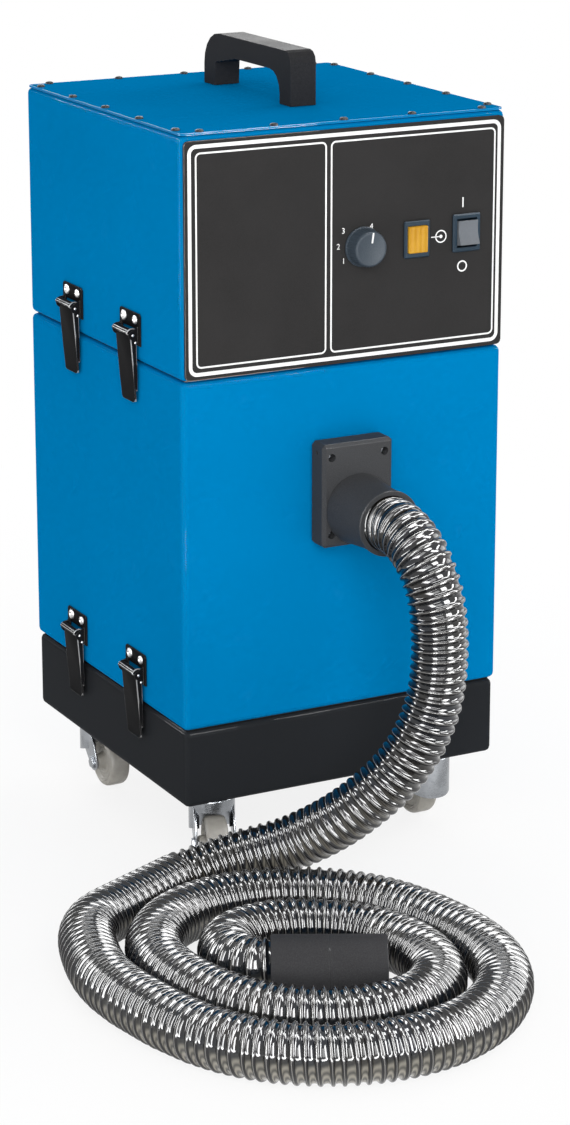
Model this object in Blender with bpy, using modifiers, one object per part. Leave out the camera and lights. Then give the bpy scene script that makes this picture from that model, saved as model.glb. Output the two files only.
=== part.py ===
"""Mobile welding fume extractor on casters, with a ribbed hose coiled beside it.

Frame: metres, +Z up, front towards -Y, floor at z = 0, cabinet centred on X = Y = 0.
"""

import math

import bmesh
import bpy
from mathutils import Matrix, Vector

# Cabinet stack
cabinet_width = 0.320
cabinet_depth = 0.325
caster_height = 0.072
tray_height = 0.0715
tray_inset = 0.0015
housing_height = 0.316
head_height = 0.2122
seam_gap = 0.0015
sheet = 0.0015
bend_radius = 0.005
flange_width = 0.014
fit_gap = 0.0003
overrun = 0.004
bend_steps = 3

# Top cover and handle
cover_thickness = 0.002
cover_inset = 0.001
handle_x = 0.0045
handle_width = 0.0255
handle_height = 0.049
handle_front = -0.0745
handle_back = 0.097
handle_foot = 0.0213
handle_grip = 0.0195
handle_edge = 0.0018
serration_count = 5
serration_pitch = 0.0085
serration_depth = 0.0016

# Front panel
panel_side_margin = 0.00225
panel_thickness = 0.0022
panel_bottom_margin = 0.001
panel_top_margin = 0.004
panel_radius = 0.0045
knob_x = 0.0146
knob_z = 0.5657
knob_skirt = 0.018
knob_face = 0.016
knob_depth = 0.0165
knob_shaft = 0.003
knob_shaft_reach = 0.012
knob_clearance = 0.0005
lamp_x = 0.0685
lamp_z = 0.5675
lamp_width = 0.026
lamp_height = 0.033
bezel_thickness = 0.003
body_inset = 0.003
body_depth = 0.022
lens_width = 0.0195
lens_height = 0.024
lens_proud = 0.0022
lens_pocket = 0.005
switch_x = 0.1191
switch_z = 0.569
switch_width = 0.028
switch_height = 0.034
rocker_width = 0.0195
rocker_length = 0.0215
rocker_proud = 0.0024
rocker_rise = 0.002
rocker_depth = 0.004
rocker_throw = math.radians(20)
rocker_side_gap = 0.0005
pocket_depth = 0.012

# Inlet
port_z = 0.3357
port_width = 0.070
port_height = 0.094
port_depth = 0.024
port_rise = 0.0139
port_chamfer = 0.003
port_screw_x = 0.0264
port_screw_z = 0.0352
port_screw_radius = 0.0038
port_screw_depth = 0.009
port_side_radius = 0.0019
port_side_depth = 0.006
port_side_drop = 0.0085
collar_length = 0.0555
collar_root_radius = 0.0318
collar_rim_radius = 0.0292
bead_height = 0.0012
bead_length = 0.006
spigot_radius = 0.0255
spigot_length = 0.020
baffle_width = 0.130
baffle_depth = 0.045
baffle_drop = 0.090
baffle_top_gap = 0.0063
baffle_flange = 0.015

# Hose
hose_radius = 0.025
rib_depth = 0.0017
bore_radius = 0.0195
rib_pitch = 0.0175
bore_sag = 0.0008
hose_end = 0.050
socket_depth = 0.048
lie_gap = 0.0002
hose_round_steps = 2
smooth_steps = 12
neighbour_reach = 6 * hose_radius

# Coil on the floor
coil_x = -0.1658
coil_y = -0.4095
loop_radius = 0.1626
loop_major = 0.0349
loop_minor = 0.004
loop_heading = math.radians(101.24)
loop_start = math.radians(140)
loop_pitch = 0.0406
loop_rounding = 0.016
loop_drift = 0.002
loop_narrowing = 0.0146
narrowing_heading = math.radians(34)
loop_in_share = 0.06
loop_out_share = 1.66
steps_per_loop = 48
curl_radius = 0.036
curl_heading = math.radians(-118)
curl_lead = math.radians(40)
ease_share = 0.37
joint_x = -0.2295
joint_y = -0.2220
joint_heading = math.radians(205)

# End cuff
cuff_x = -0.2035
cuff_y = -0.4085
cuff_heading = math.radians(-27)
cuff_length = 0.096
cuff_radius = 0.0275
cuff_wall = 0.003
cuff_stop = 0.003
cuff_rim = 0.002

# Free stretch, from the collar's mouth down to the floor: route points chosen by eye
drop_route = [
    (0.000, -0.266, 0.335),
    (0.002, -0.294, 0.320),
    (0.006, -0.311, 0.290),
    (0.008, -0.317, 0.246),
    (0.002, -0.316, 0.190),
    (-0.018, -0.306, 0.141),
    (-0.054, -0.280, 0.094),
    (-0.092, -0.2415, 0.0575),
    (-0.138, -0.2140, 0.0395),
]

# Draw latches
latch_upper_y = 0.0617
latch_lower_y = 0.0645
latch_drop = 0.026
latch_lower_lift = 0.004
latch_pivot_out = 0.0066
latch_crank = 0.0030
latch_over_centre = math.radians(10)
latch_pin = 0.001
latch_stub = 0.0013
lever_width = 0.031
lever_tip_width = 0.028
lever_length = 0.062
lever_thickness = 0.0012
lever_top_out = 0.0020
lever_tip_out = -0.0031
lever_nose = 0.0062
lever_roll_end = math.radians(82)
lever_back_angle = math.radians(135)
lever_flange_reach = 0.0042
lever_tip_flange = 0.0015
bracket_width = 0.042
bracket_thickness = 0.0015
bracket_top = 0.0190
bracket_foot = 0.0100
bracket_web = 0.0085
ear_thickness = 0.0012
ear_radius = 0.0042
ear_round = math.radians(60)
link_width = 0.018
link_thickness = 0.001
link_eye = 0.0017
link_length = 0.0435
link_top_in = 0.0010
link_lean = 0.0032
hook_reach = 0.0022
hook_thickness = 0.0012
keeper_width = 0.016
keeper_height = 0.0022
keeper_reach = 0.0022

# Casters
caster_side_inset = 0.047
caster_end_inset = 0.0425
caster_plate = 0.052
caster_plate_thickness = 0.0025
caster_plate_radius = 0.006
race_radius = 0.0165
race_height = 0.0025
king_radius = 0.004
dome_radius = 0.019
dome_height = 0.0085
dome_crown = 0.0035
hood_drop = 0.0205
arch_gap = 0.0035
trail = 0.020
wheel_radius = 0.025
wheel_width = 0.020
wheel_shoulder = 0.002
wheel_recess = 0.0022
wheel_rim_radius = 0.019
wheel_hub_radius = 0.008
wheel_hub_proud = 0.0055
wheel_hub_flare = 0.001
axle_radius = 0.0035
axle_gap = 0.0006
nut_radius = 0.006
nut_length = 0.003
fork_sheet = 0.002
fork_gap = 0.0012
fork_eye = 0.008
fork_shoulder = 0.0094
caster_headings = {
    "front_left": math.radians(252),
    "front_right": math.radians(90),
    "back_left": math.radians(270),
    "back_right": math.radians(50),
}

# Inside the cabinet
ledge_drop = 0.089
ledge_reach = 0.0185
ledge_thickness = 0.002
ledge_margin = 0.012
filter_side_margin = 0.016
filter_end_margin = 0.0175
filter_headroom = 0.011
filter_wall = 0.004
pleat_count = 18
pleat_paper = 0.006
pleat_margin = 0.006
deck_thickness = 0.002
deck_margin = 0.0025
deck_hole = 0.034
blower_radius = 0.074
blower_height = 0.062
motor_radius = 0.046
motor_height = 0.070
blower_y = 0.010
blower_edge = 0.005

# Back of the head
grille_width = 0.180
grille_height = 0.090
grille_thickness = 0.003
grille_lip = 0.010
grille_slots = 7
grille_bar_share = 0.45
grille_z = 0.590
gland_x = 0.110
gland_z = 0.492
gland_radius = 0.011
gland_hex = 0.013
gland_hex_length = 0.005
gland_length = 0.024
gland_bore = 0.005
gland_thread = 0.008
gland_nut_length = 0.004

# Smoothness of round pieces
round_sides = 24
small_sides = 12
hexagon_sides = 6
pin_sides = 6
eye_sides = 8
caster_sides = 16
smooth_angle = math.radians(35)

# Heights that follow from the stack
tray_bottom = caster_height
tray_top = tray_bottom + tray_height
housing_bottom = tray_top + seam_gap
housing_top = housing_bottom + housing_height
head_bottom = housing_top + seam_gap
head_top = head_bottom + head_height
cover_bottom = head_top + fit_gap
cover_top = cover_bottom + cover_thickness
front = -cabinet_depth / 2
back = cabinet_depth / 2
opening_width = cabinet_width - 2 * flange_width
opening_depth = cabinet_depth - 2 * flange_width
panel_width = cabinet_width - 2 * panel_side_margin
panel_face = front - fit_gap - panel_thickness
port_face = front - fit_gap - port_depth
port_centre_z = port_z + port_rise
collar_mouth = port_face - fit_gap - collar_length
lie_height = hose_radius + lie_gap
cuff_height = cuff_radius + lie_gap
caster_x = cabinet_width / 2 - caster_side_inset
caster_y = cabinet_depth / 2 - caster_end_inset
ledge_height = housing_top - ledge_drop
filter_width = cabinet_width - 2 * filter_side_margin
filter_depth = cabinet_depth - 2 * filter_end_margin
filter_height = ledge_drop - filter_headroom
baffle_bottom = port_z - baffle_drop
baffle_height = ledge_height - baffle_top_gap - baffle_bottom

# Directions that stand a local shape up in the cabinet
across = Matrix(((0, 0, 1), (1, 0, 0), (0, 1, 0))).to_4x4()
upright = Matrix.Rotation(math.radians(90), 4, "X")
lying = Matrix.Rotation(math.radians(90), 4, "Y")

slots = {
    "blue_paint": ((0.0, 0.235, 0.578), 0.35, 0.0),
    "black_paint": ((0.022, 0.022, 0.025), 0.45, 0.0),
    "black_plastic": ((0.018, 0.018, 0.020), 0.5, 0.0),
    "grey_rocker": ((0.10, 0.11, 0.12), 0.45, 0.0),
    "amber_lens": ((0.80, 0.30, 0.01), 0.15, 0.0),
    "hose_plastic": ((0.05, 0.055, 0.06), 0.2, 0.0),
    "cuff_rubber": ((0.035, 0.035, 0.038), 0.6, 0.0),
    "seal_rubber": ((0.012, 0.012, 0.012), 0.8, 0.0),
    "zinc": ((0.60, 0.60, 0.58), 0.3, 1.0),
    "black_steel": ((0.025, 0.025, 0.027), 0.3, 0.6),
    "wheel_grey": ((0.42, 0.40, 0.37), 0.55, 0.0),
    "galvanised": ((0.55, 0.56, 0.57), 0.4, 1.0),
    "filter_paper": ((0.78, 0.76, 0.68), 0.9, 0.0),
    "motor_metal": ((0.45, 0.46, 0.47), 0.4, 0.9),
}


def clear_scene():
    for item in list(bpy.data.objects):
        bpy.data.objects.remove(item, do_unlink=True)


def new_collection(name):
    collection = bpy.data.collections.new(name)
    bpy.context.scene.collection.children.link(collection)
    return collection


def slot_material(slot):
    """The slot's Principled material, made once."""
    if slot in bpy.data.materials:
        return bpy.data.materials[slot]
    colour, roughness, metallic = slots[slot]
    made = bpy.data.materials.new(slot)
    made.use_nodes = True
    shader = made.node_tree.nodes["Principled BSDF"]
    shader.inputs["Base Color"].default_value = (*colour, 1)
    shader.inputs["Roughness"].default_value = roughness
    shader.inputs["Metallic"].default_value = metallic
    return made


def part(name, obj, slot, origin=(0, 0, 0), heading=0.0):
    """Names a finished solid, gives it its material and sets it down by its origin."""
    obj.name = name
    obj.data.name = name
    if not obj.data.materials:
        obj.data.materials.append(slot_material(slot))
    obj.location = origin
    obj.rotation_euler.z = heading
    cutters.objects.unlink(obj)
    parts.objects.link(obj)
    obj.hide_render = False
    obj.display_type = "TEXTURED"
    return obj


def helper(name, mesh):
    """A loose solid: it waits among the cutters until part() names it."""
    obj = bpy.data.objects.new(name, mesh)
    cutters.objects.link(obj)
    obj.hide_render = True
    obj.display_type = "WIRE"
    return obj


def from_bmesh(name, bm):
    mesh = bpy.data.meshes.new(name)
    bmesh.ops.recalc_face_normals(bm, faces=bm.faces)
    bm.to_mesh(mesh)
    bm.free()
    return helper(name, mesh)


def box(name, size, centre):
    bm = bmesh.new()
    bmesh.ops.create_cube(bm, size=1)
    bmesh.ops.scale(bm, vec=size, verts=bm.verts)
    bmesh.ops.translate(bm, vec=centre, verts=bm.verts)
    return from_bmesh(name, bm)


def rod(name, radius, start, end, sides, end_radius=None):
    """A cylinder, or a cone where the far end has its own radius, between two points."""
    along = Vector(end) - Vector(start)
    middle = (Vector(end) + Vector(start)) / 2
    turn = Vector((0, 0, 1)).rotation_difference(along).to_matrix().to_4x4()
    bm = bmesh.new()
    bmesh.ops.create_cone(
        bm,
        cap_ends=True,
        segments=sides,
        radius1=radius,
        radius2=radius if end_radius is None else end_radius,
        depth=along.length,
        matrix=Matrix.Translation(middle) @ turn,
    )
    return from_bmesh(name, bm)


def read_mesh(obj):
    """The object's evaluated mesh in its own frame."""
    bpy.context.view_layer.update()
    graph = bpy.context.evaluated_depsgraph_get()
    return bpy.data.meshes.new_from_object(obj.evaluated_get(graph), depsgraph=graph)


def weld(mesh):
    bm = bmesh.new()
    bm.from_mesh(mesh)
    bmesh.ops.remove_doubles(bm, verts=bm.verts, dist=lie_gap / smooth_steps)
    bmesh.ops.recalc_face_normals(bm, faces=bm.faces)
    bm.to_mesh(mesh)
    bm.free()


def from_curve(name, curve):
    """The welded mesh of a curve, which a Boolean can then read."""
    wire = bpy.data.objects.new(name, curve)
    cutters.objects.link(wire)
    mesh = read_mesh(wire)
    weld(mesh)
    bpy.data.objects.remove(wire, do_unlink=True)
    bpy.data.curves.remove(curve)
    return helper(name, mesh)


def extruded(name, outline, thickness, stand=None, offset=(0, 0, 0)):
    """A flat outline in local XY, as thick as given about local z = 0, then stood up."""
    curve = bpy.data.curves.new(name, "CURVE")
    curve.dimensions = "2D"
    curve.fill_mode = "BOTH"
    curve.extrude = thickness / 2
    spline = curve.splines.new("POLY")
    spline.points.add(len(outline) - 1)
    for point, (x, y) in zip(spline.points, outline):
        point.co = (x, y, 0, 1)
    spline.use_cyclic_u = True
    obj = from_curve(name, curve)
    obj.data.transform(Matrix.Translation(offset) @ (stand or Matrix.Identity(4)))
    return obj


def turned(name, profile, sides, stand=None, offset=(0, 0, 0), closed=False):
    """A profile of (radius, height) turned about local Z; it runs down its outer side."""
    bm = bmesh.new()
    points = [bm.verts.new((radius, 0, height)) for radius, height in profile]
    for first, second in zip(points, points[1:]):
        bm.edges.new((first, second))
    if closed:
        bm.edges.new((points[-1], points[0]))
    mesh = bpy.data.meshes.new(name)
    bm.to_mesh(mesh)
    bm.free()
    obj = helper(name, mesh)
    screw = obj.modifiers.new("Turn", "SCREW")
    screw.steps = sides
    screw.render_steps = sides
    screw.use_merge_vertices = True
    screw.merge_threshold = lie_gap / smooth_steps
    freeze(obj)
    weld(obj.data)
    obj.data.transform(Matrix.Translation(offset) @ (stand or Matrix.Identity(4)))
    return obj


def freeze(obj):
    """Puts the modifiers' result into the mesh, so that copies can share it."""
    mesh = read_mesh(obj)
    obj.modifiers.clear()
    obj.data = mesh
    return obj


def combine(obj, tools, operation):
    """Joins or cuts with other solids, which are used up."""
    for tool in tools:
        boolean = obj.modifiers.new(tool.name, "BOOLEAN")
        boolean.operation = operation
        boolean.object = tool
    freeze(obj)
    for tool in tools:
        bpy.data.objects.remove(tool, do_unlink=True)
    return obj


def join(obj, *tools):
    return combine(obj, tools, "UNION")


def cut(obj, *tools):
    return combine(obj, tools, "DIFFERENCE")


def cut_live(obj, *tools):
    """Cuts with solids that stay among the cutters and may cut several pieces."""
    for tool in tools:
        boolean = obj.modifiers.new(tool.name, "BOOLEAN")
        boolean.operation = "DIFFERENCE"
        boolean.object = tool
    return obj


def bevelled(obj, width, segments, angle=math.radians(30)):
    bevel = obj.modifiers.new("Round", "BEVEL")
    bevel.width = width
    bevel.segments = segments
    bevel.limit_method = "ANGLE"
    bevel.angle_limit = angle
    return freeze(obj)


def smooth(obj):
    obj.data.shade_smooth()
    obj.data.set_sharp_from_angle(angle=smooth_angle)
    return obj


def arc(centre, radius, start, end, steps):
    """Points of an arc, both ends included; angles in radians."""
    points = []
    for step in range(steps + 1):
        angle = start + (end - start) * step / steps
        points.append((centre[0] + radius * math.cos(angle), centre[1] + radius * math.sin(angle)))
    return points


def rounded_rectangle(width, height, radius, steps):
    outline = []
    for quarter in range(4):
        angle = math.radians(90) * quarter
        side_x = 1 if quarter in (0, 3) else -1
        side_y = 1 if quarter in (0, 1) else -1
        centre = (side_x * (width / 2 - radius), side_y * (height / 2 - radius))
        outline += arc(centre, radius, angle, angle + math.radians(90), steps)
    return outline


def folded_shell(name, width, bottom, top, depth):
    """A sheet-metal box with bent edges, still closed all round."""
    shell = box(name, (width, depth, top - bottom), (0, 0, (top + bottom) / 2))
    bevelled(shell, bend_radius, bend_steps)
    wall = shell.modifiers.new("Sheet", "SOLIDIFY")
    wall.thickness = sheet
    wall.offset = -1
    wall.use_even_offset = True
    return freeze(shell)


def mouth(level):
    """Cutter that leaves only the bent flange of an open face at this height."""
    return box("mouth_cutter", (opening_width, opening_depth, 2 * bend_radius), (0, 0, level))


def keepers(inset, seam, y, lift):
    """The four strips that the hooks of one seam pull on."""
    made = []
    root = cabinet_width / 2 - inset - sheet / 2
    tip = cabinet_width / 2 + keeper_reach
    hook_top = seam + latch_drop + lift + latch_hook_height()
    for side in (-1, 1):
        for row in (-1, 1):
            size = (tip - root, keeper_width, keeper_height)
            centre = (side * (tip + root) / 2, row * y, hook_top + fit_gap + keeper_height / 2)
            made.append(box("keeper", size, centre))
    return made


def latch_hook_height():
    """Height of the hook's top face over the lever's pivot, closed."""
    return latch_crank * math.cos(latch_over_centre) - link_length


def base_tray():
    tray = folded_shell(
        "tray", cabinet_width - 2 * tray_inset, tray_bottom, tray_top, cabinet_depth - 2 * tray_inset
    )
    cut(tray, mouth(tray_top))
    join(tray, *keepers(tray_inset, tray_top + seam_gap / 2, latch_lower_y, latch_lower_lift))
    part("base_tray", smooth(tray), "black_paint")


def filter_housing():
    housing = folded_shell("housing", cabinet_width, housing_bottom, housing_top, cabinet_depth)
    cut(housing, mouth(housing_bottom), mouth(housing_top))
    ends = (0, front - overrun, port_z), (0, front + overrun, port_z)
    cut(housing, rod("port_hole", spigot_radius + fit_gap, *ends, round_sides))
    wall = cabinet_width / 2 - sheet / 2
    ledges = []
    for side in (-1, 1):
        size = (ledge_reach, cabinet_depth - 2 * ledge_margin, ledge_thickness)
        centre = (side * (wall - ledge_reach / 2), 0, ledge_height - ledge_thickness / 2)
        ledges.append(box("ledge", size, centre))
    join(housing, *ledges, *keepers(0, housing_top + seam_gap / 2, latch_upper_y, 0))
    part("filter_housing", smooth(housing), "blue_paint")


def seal(name, seam_bottom):
    """The rubber strip on the flange of a seam."""
    strip = seam_gap - 2 * fit_gap
    level = seam_bottom + seam_gap / 2
    outer = (cabinet_width - 2 * bend_radius, cabinet_depth - 2 * bend_radius, strip)
    ring = box(name, outer, (0, 0, level))
    cut(ring, box("seal_cutter", (opening_width, opening_depth, strip + 2 * overrun), (0, 0, level)))
    part(name, ring, "seal_rubber")


def panel_cutters():
    """Holes that the knob's shaft, the lamp and the switch share with the head's wall."""
    reach = (panel_face - overrun, front + sheet + overrun)
    middle = (reach[0] + reach[1]) / 2
    length = reach[1] - reach[0]
    shaft = rod(
        "shaft_cutter",
        knob_shaft + fit_gap,
        (knob_x, reach[0], knob_z),
        (knob_x, reach[1], knob_z),
        small_sides,
    )
    made = [shaft]
    for name, x, z, width, height in (
        ("lamp_cutter", lamp_x, lamp_z, lamp_width, lamp_height),
        ("switch_cutter", switch_x, switch_z, switch_width, switch_height),
    ):
        shrink = 2 * (body_inset - fit_gap)
        made.append(box(name, (width - shrink, length, height - shrink), (x, middle, z)))
    return made


def head_shell(openings):
    head = folded_shell("head", cabinet_width, head_bottom, head_top, cabinet_depth)
    cut(head, mouth(head_bottom), mouth(head_top))
    vent = (grille_width - 2 * grille_lip, 2 * overrun, grille_height - 2 * grille_lip)
    cut(
        head,
        box("vent_cutter", vent, (0, back, grille_z)),
        rod(
            "gland_cutter",
            gland_thread + fit_gap,
            (gland_x, back - overrun, gland_z),
            (gland_x, back + overrun, gland_z),
            small_sides,
        ),
    )
    part("head_shell", smooth(cut_live(head, *openings)), "blue_paint")


def top_cover():
    outline = rounded_rectangle(
        cabinet_width - 2 * cover_inset, cabinet_depth - 2 * cover_inset, bend_radius, bend_steps
    )
    middle = cover_bottom + cover_thickness / 2
    part("top_cover", extruded("cover", outline, cover_thickness, offset=(0, 0, middle)), "blue_paint")


def carry_handle():
    """A moulded bar: side outline in (y, z), with finger grooves under its back half."""
    base = cover_top + fit_gap
    top = cover_top + handle_height
    under = top - handle_grip
    shoulder = handle_grip + handle_foot / 2
    outline = [(handle_front, base), (handle_front + handle_foot, base)]
    knuckle = (handle_front + handle_foot + handle_grip, under - handle_grip)
    outline += arc(knuckle, handle_grip, math.radians(180), math.radians(90), bend_steps + 1)
    groove_end = handle_back - handle_foot - serration_depth
    groove_start = groove_end - serration_count * serration_pitch
    for groove in range(serration_count):
        left = groove_start + groove * serration_pitch
        middle = left + serration_pitch / 2
        drop = under - serration_depth * (1 + groove)
        outline += [(left, drop + serration_depth), (middle, drop + serration_depth)]
        outline += [(left + serration_pitch, drop)]
    outline += [(handle_back - handle_foot, base), (handle_back, base)]
    bow = (handle_back - shoulder, top - shoulder)
    outline += arc(bow, shoulder, 0, math.radians(90), bend_steps + 2)
    outline += arc(
        (handle_front + handle_foot / 2, top - handle_foot / 2),
        handle_foot / 2,
        math.radians(90),
        math.radians(180),
        bend_steps,
    )
    bar = extruded("handle", outline, handle_width, across, (handle_x, 0, 0))
    bevelled(bar, handle_edge, 1, math.radians(60))
    part("carry_handle", smooth(bar), "black_plastic")


def control_panel(openings):
    bottom = head_bottom + panel_bottom_margin
    top = head_top - panel_top_margin
    outline = rounded_rectangle(panel_width, top - bottom, panel_radius, bend_steps)
    middle = (0, panel_face + panel_thickness / 2, (top + bottom) / 2)
    fascia = extruded("fascia", outline, panel_thickness, upright, middle)
    part("control_panel", cut_live(fascia, *openings), "black_plastic")


def airflow_knob():
    """Tapered knob on its shaft; local Z points out of the panel."""
    edge = (knob_skirt - knob_face) / 2
    profile = [
        (0, knob_depth),
        (knob_face - edge, knob_depth),
        (knob_face, knob_depth - edge),
        (knob_skirt - edge, knob_clearance + 2 * edge),
        (knob_skirt, knob_clearance + edge),
        (knob_skirt, knob_clearance),
        (knob_shaft, knob_clearance),
        (knob_shaft, -knob_shaft_reach),
        (0, -knob_shaft_reach),
    ]
    knob = turned("knob", profile, round_sides, upright)
    part("airflow_knob", smooth(knob), "black_plastic", (knob_x, panel_face, knob_z))


def panel_fitting(name, x, z, width, height, pocket, depth):
    """A bezel with its body behind the panel and a pocket in its face."""
    face = panel_face - fit_gap - bezel_thickness
    bezel = box(name, (width, bezel_thickness, height), (x, face + bezel_thickness / 2, z))
    bevelled(bezel, bezel_thickness / 3, 1)
    shrink = 2 * body_inset
    body_length = bezel_thickness / 2 + body_depth
    body_middle = face + bezel_thickness / 2 + body_length / 2
    body = box("body", (width - shrink, body_length, height - shrink), (x, body_middle, z))
    join(bezel, body)
    recess = box("recess", (pocket[0], depth + overrun, pocket[1]), (x, face + (depth - overrun) / 2, z))
    return cut(bezel, recess), face


def lamp():
    pocket = (lens_width + 2 * fit_gap, lens_height + 2 * fit_gap)
    bezel, face = panel_fitting("lamp", lamp_x, lamp_z, lamp_width, lamp_height, pocket, lens_pocket)
    part("lamp_bezel", bezel, "black_plastic")
    length = lens_pocket - fit_gap + lens_proud
    middle = face - lens_proud + length / 2
    lens = box("lens", (lens_width, length, lens_height), (lamp_x, middle, lamp_z))
    bevelled(lens, lens_proud / 2, 2)
    part("lamp_lens", smooth(lens), "amber_lens")


def power_switch():
    pocket = (rocker_width + 2 * rocker_side_gap, rocker_length + 2 * rocker_proud)
    frame, face = panel_fitting(
        "switch", switch_x, switch_z, switch_width, switch_height, pocket, pocket_depth
    )
    part("switch_frame", frame, "black_plastic")
    half = rocker_length / 2
    outline = [
        (-half, rocker_proud + rocker_rise),
        (-half, -rocker_depth),
        (-half / 2, -rocker_depth - rocker_rise),
        (half / 2, -rocker_depth - rocker_rise),
        (half, -rocker_depth),
        (half, rocker_proud + rocker_rise),
        (half / 2, rocker_proud + rocker_rise / 3),
        (0, rocker_proud),
        (-half / 2, rocker_proud + rocker_rise / 3),
    ]
    # Outline x runs up the panel and outline y runs out of it.
    stand = Matrix(((0, 0, 1), (0, -1, 0), (1, 0, 0))).to_4x4()
    rocker = extruded("rocker", outline, rocker_width, stand)
    rocker.data.transform(Matrix.Rotation(-rocker_throw / 2, 4, "X"))
    part("switch_rocker", smooth(rocker), "grey_rocker", (switch_x, face, switch_z))


def inlet_block():
    middle = (0, front - fit_gap - port_depth / 2, port_centre_z)
    block = box("block", (port_width, port_depth, port_height), middle)
    bevelled(block, port_chamfer, 1)
    tools = [
        rod(
            "port_bore",
            spigot_radius + fit_gap,
            (0, port_face - overrun, port_z),
            (0, front + overrun, port_z),
            round_sides,
        )
    ]
    for side in (-1, 1):
        for level in (-1, 1):
            x = side * port_screw_x
            z = port_centre_z + level * port_screw_z
            start = (x, port_face - overrun, z)
            end = (x, port_face + port_screw_depth, z)
            tools.append(rod("screw_hole", port_screw_radius, start, end, small_sides))
    side_y = front - fit_gap - port_depth / 2
    side_z = port_centre_z + port_height / 2 - port_side_drop
    side_start = (-port_width / 2 - overrun, side_y, side_z)
    side_end = (-port_width / 2 + port_side_depth, side_y, side_z)
    tools.append(rod("side_hole", port_side_radius, side_start, side_end, small_sides))
    part("inlet_block", smooth(cut(block, *tools)), "black_plastic")


def hose_collar():
    """The hose's fixed end: local Z runs out of the block, with a spigot behind z = 0."""
    socket = hose_radius + fit_gap
    length = collar_length
    stop = length - socket_depth
    profile = [
        (socket, length),
        (collar_rim_radius, length),
        (collar_rim_radius + bead_height, length - bead_length / 2),
        (collar_rim_radius, length - bead_length),
        (collar_root_radius, bead_length),
        (collar_root_radius, 0),
        (spigot_radius, 0),
        (spigot_radius, -spigot_length),
        (bore_radius, -spigot_length),
        (bore_radius, stop),
        (socket, stop),
    ]
    place = (0, port_face - fit_gap, port_z)
    collar = turned("collar", profile, round_sides, upright, place, closed=True)
    part("hose_collar", smooth(collar), "black_plastic")


def spark_baffle():
    """A hat-shaped sheet behind the inlet, open below, hung on the front wall."""
    half = baffle_width / 2
    near = front + sheet + fit_gap
    far = near + baffle_depth
    outline = [
        (-half - baffle_flange, near),
        (-half, near),
        (-half, far - sheet),
        (half, far - sheet),
        (half, near),
        (half + baffle_flange, near),
        (half + baffle_flange, near + sheet),
        (half + sheet, near + sheet),
        (half + sheet, far),
        (-half - sheet, far),
        (-half - sheet, near + sheet),
        (-half - baffle_flange, near + sheet),
    ]
    height = baffle_bottom + baffle_height / 2
    part("spark_baffle", extruded("baffle", outline, baffle_height, offset=(0, 0, height)), "galvanised")


def smooth_route(points, steps):
    """A smooth curve through every route point (centripetal spline)."""
    first = points[0] + (points[0] - points[1])
    last = points[-1] + (points[-1] - points[-2])
    padded = [first, *points, last]
    curve = []
    for p0, p1, p2, p3 in zip(padded, padded[1:], padded[2:], padded[3:]):
        t1 = math.sqrt((p1 - p0).length)
        t2 = t1 + math.sqrt((p2 - p1).length)
        t3 = t2 + math.sqrt((p3 - p2).length)
        for step in range(steps):
            t = t1 + (t2 - t1) * step / steps
            a1 = p0.lerp(p1, t / t1)
            a2 = p1.lerp(p2, (t - t1) / (t2 - t1))
            a3 = p2.lerp(p3, (t - t2) / (t3 - t2))
            b1 = a1.lerp(a2, t / t2)
            b2 = a2.lerp(a3, (t - t1) / (t3 - t1))
            curve.append(b1.lerp(b2, (t - t1) / (t2 - t1)))
    curve.append(points[-1])
    return curve


def heading_vector(angle):
    return Vector((math.cos(angle), math.sin(angle), 0))


def eased(start, start_way, end, end_way, steps):
    """A cubic from one point and direction to another, ends included."""
    reach = (end - start).length * ease_share
    first = start + start_way * reach
    second = end - end_way * reach
    curve = []
    for step in range(steps + 1):
        t = step / steps
        a, b, c = start.lerp(first, t), first.lerp(second, t), second.lerp(end, t)
        curve.append(a.lerp(b, t).lerp(b.lerp(c, t), t))
    return curve


def loop_point(turn):
    """A point of the flat spiral: an oval that closes in by one pitch a turn and grows rounder."""
    way = heading_vector(loop_start + math.tau * turn)
    along = heading_vector(loop_heading)
    beside = heading_vector(loop_heading + math.radians(90))
    major = loop_major - loop_rounding * turn
    reach_along = major * way.dot(along)
    reach_beside = loop_minor * way.dot(beside)
    spread = math.hypot(reach_along, reach_beside)
    oval = (along * major * reach_along + beside * loop_minor * reach_beside) / spread
    narrow = heading_vector(narrowing_heading)
    centre = Vector((coil_x, coil_y + loop_drift * turn, lie_height))
    inward = loop_narrowing * turn * narrow.dot(way)
    return centre + way * (loop_radius - loop_pitch * turn) + oval - narrow * inward


def loop_way(turn):
    nudge = 1 / steps_per_loop ** 2
    return (loop_point(turn + nudge) - loop_point(turn - nudge)).normalized()


def coil_route():
    """From the joint on the floor, twice round, then a curl into the cuff."""
    joint = Vector((joint_x, joint_y, lie_height))
    joint_way = heading_vector(joint_heading)
    entry = joint + joint_way * hose_end
    route = [joint]
    route += eased(entry, joint_way, loop_point(loop_in_share), loop_way(loop_in_share), smooth_steps)
    first = math.ceil(loop_in_share * steps_per_loop) + 1
    last = math.floor(loop_out_share * steps_per_loop)
    route += [loop_point(step / steps_per_loop) for step in range(first, last)]
    cuff_mouth = Vector((cuff_x, cuff_y, cuff_height))
    cuff_way = heading_vector(cuff_heading)
    hub = cuff_mouth + heading_vector(cuff_heading + math.radians(90)) * curl_radius
    begin = curl_heading - curl_lead
    curl = []
    for step in range(smooth_steps + 1):
        angle = begin + (cuff_heading - begin) * step / smooth_steps
        curl.append(hub + heading_vector(angle - math.radians(90)) * curl_radius)
    out = loop_point(loop_out_share)
    route += eased(out, loop_way(loop_out_share), curl[0], heading_vector(begin), smooth_steps)
    route += curl[1:]
    route.append(cuff_mouth + cuff_way * (socket_depth - fit_gap))
    return route


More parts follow.
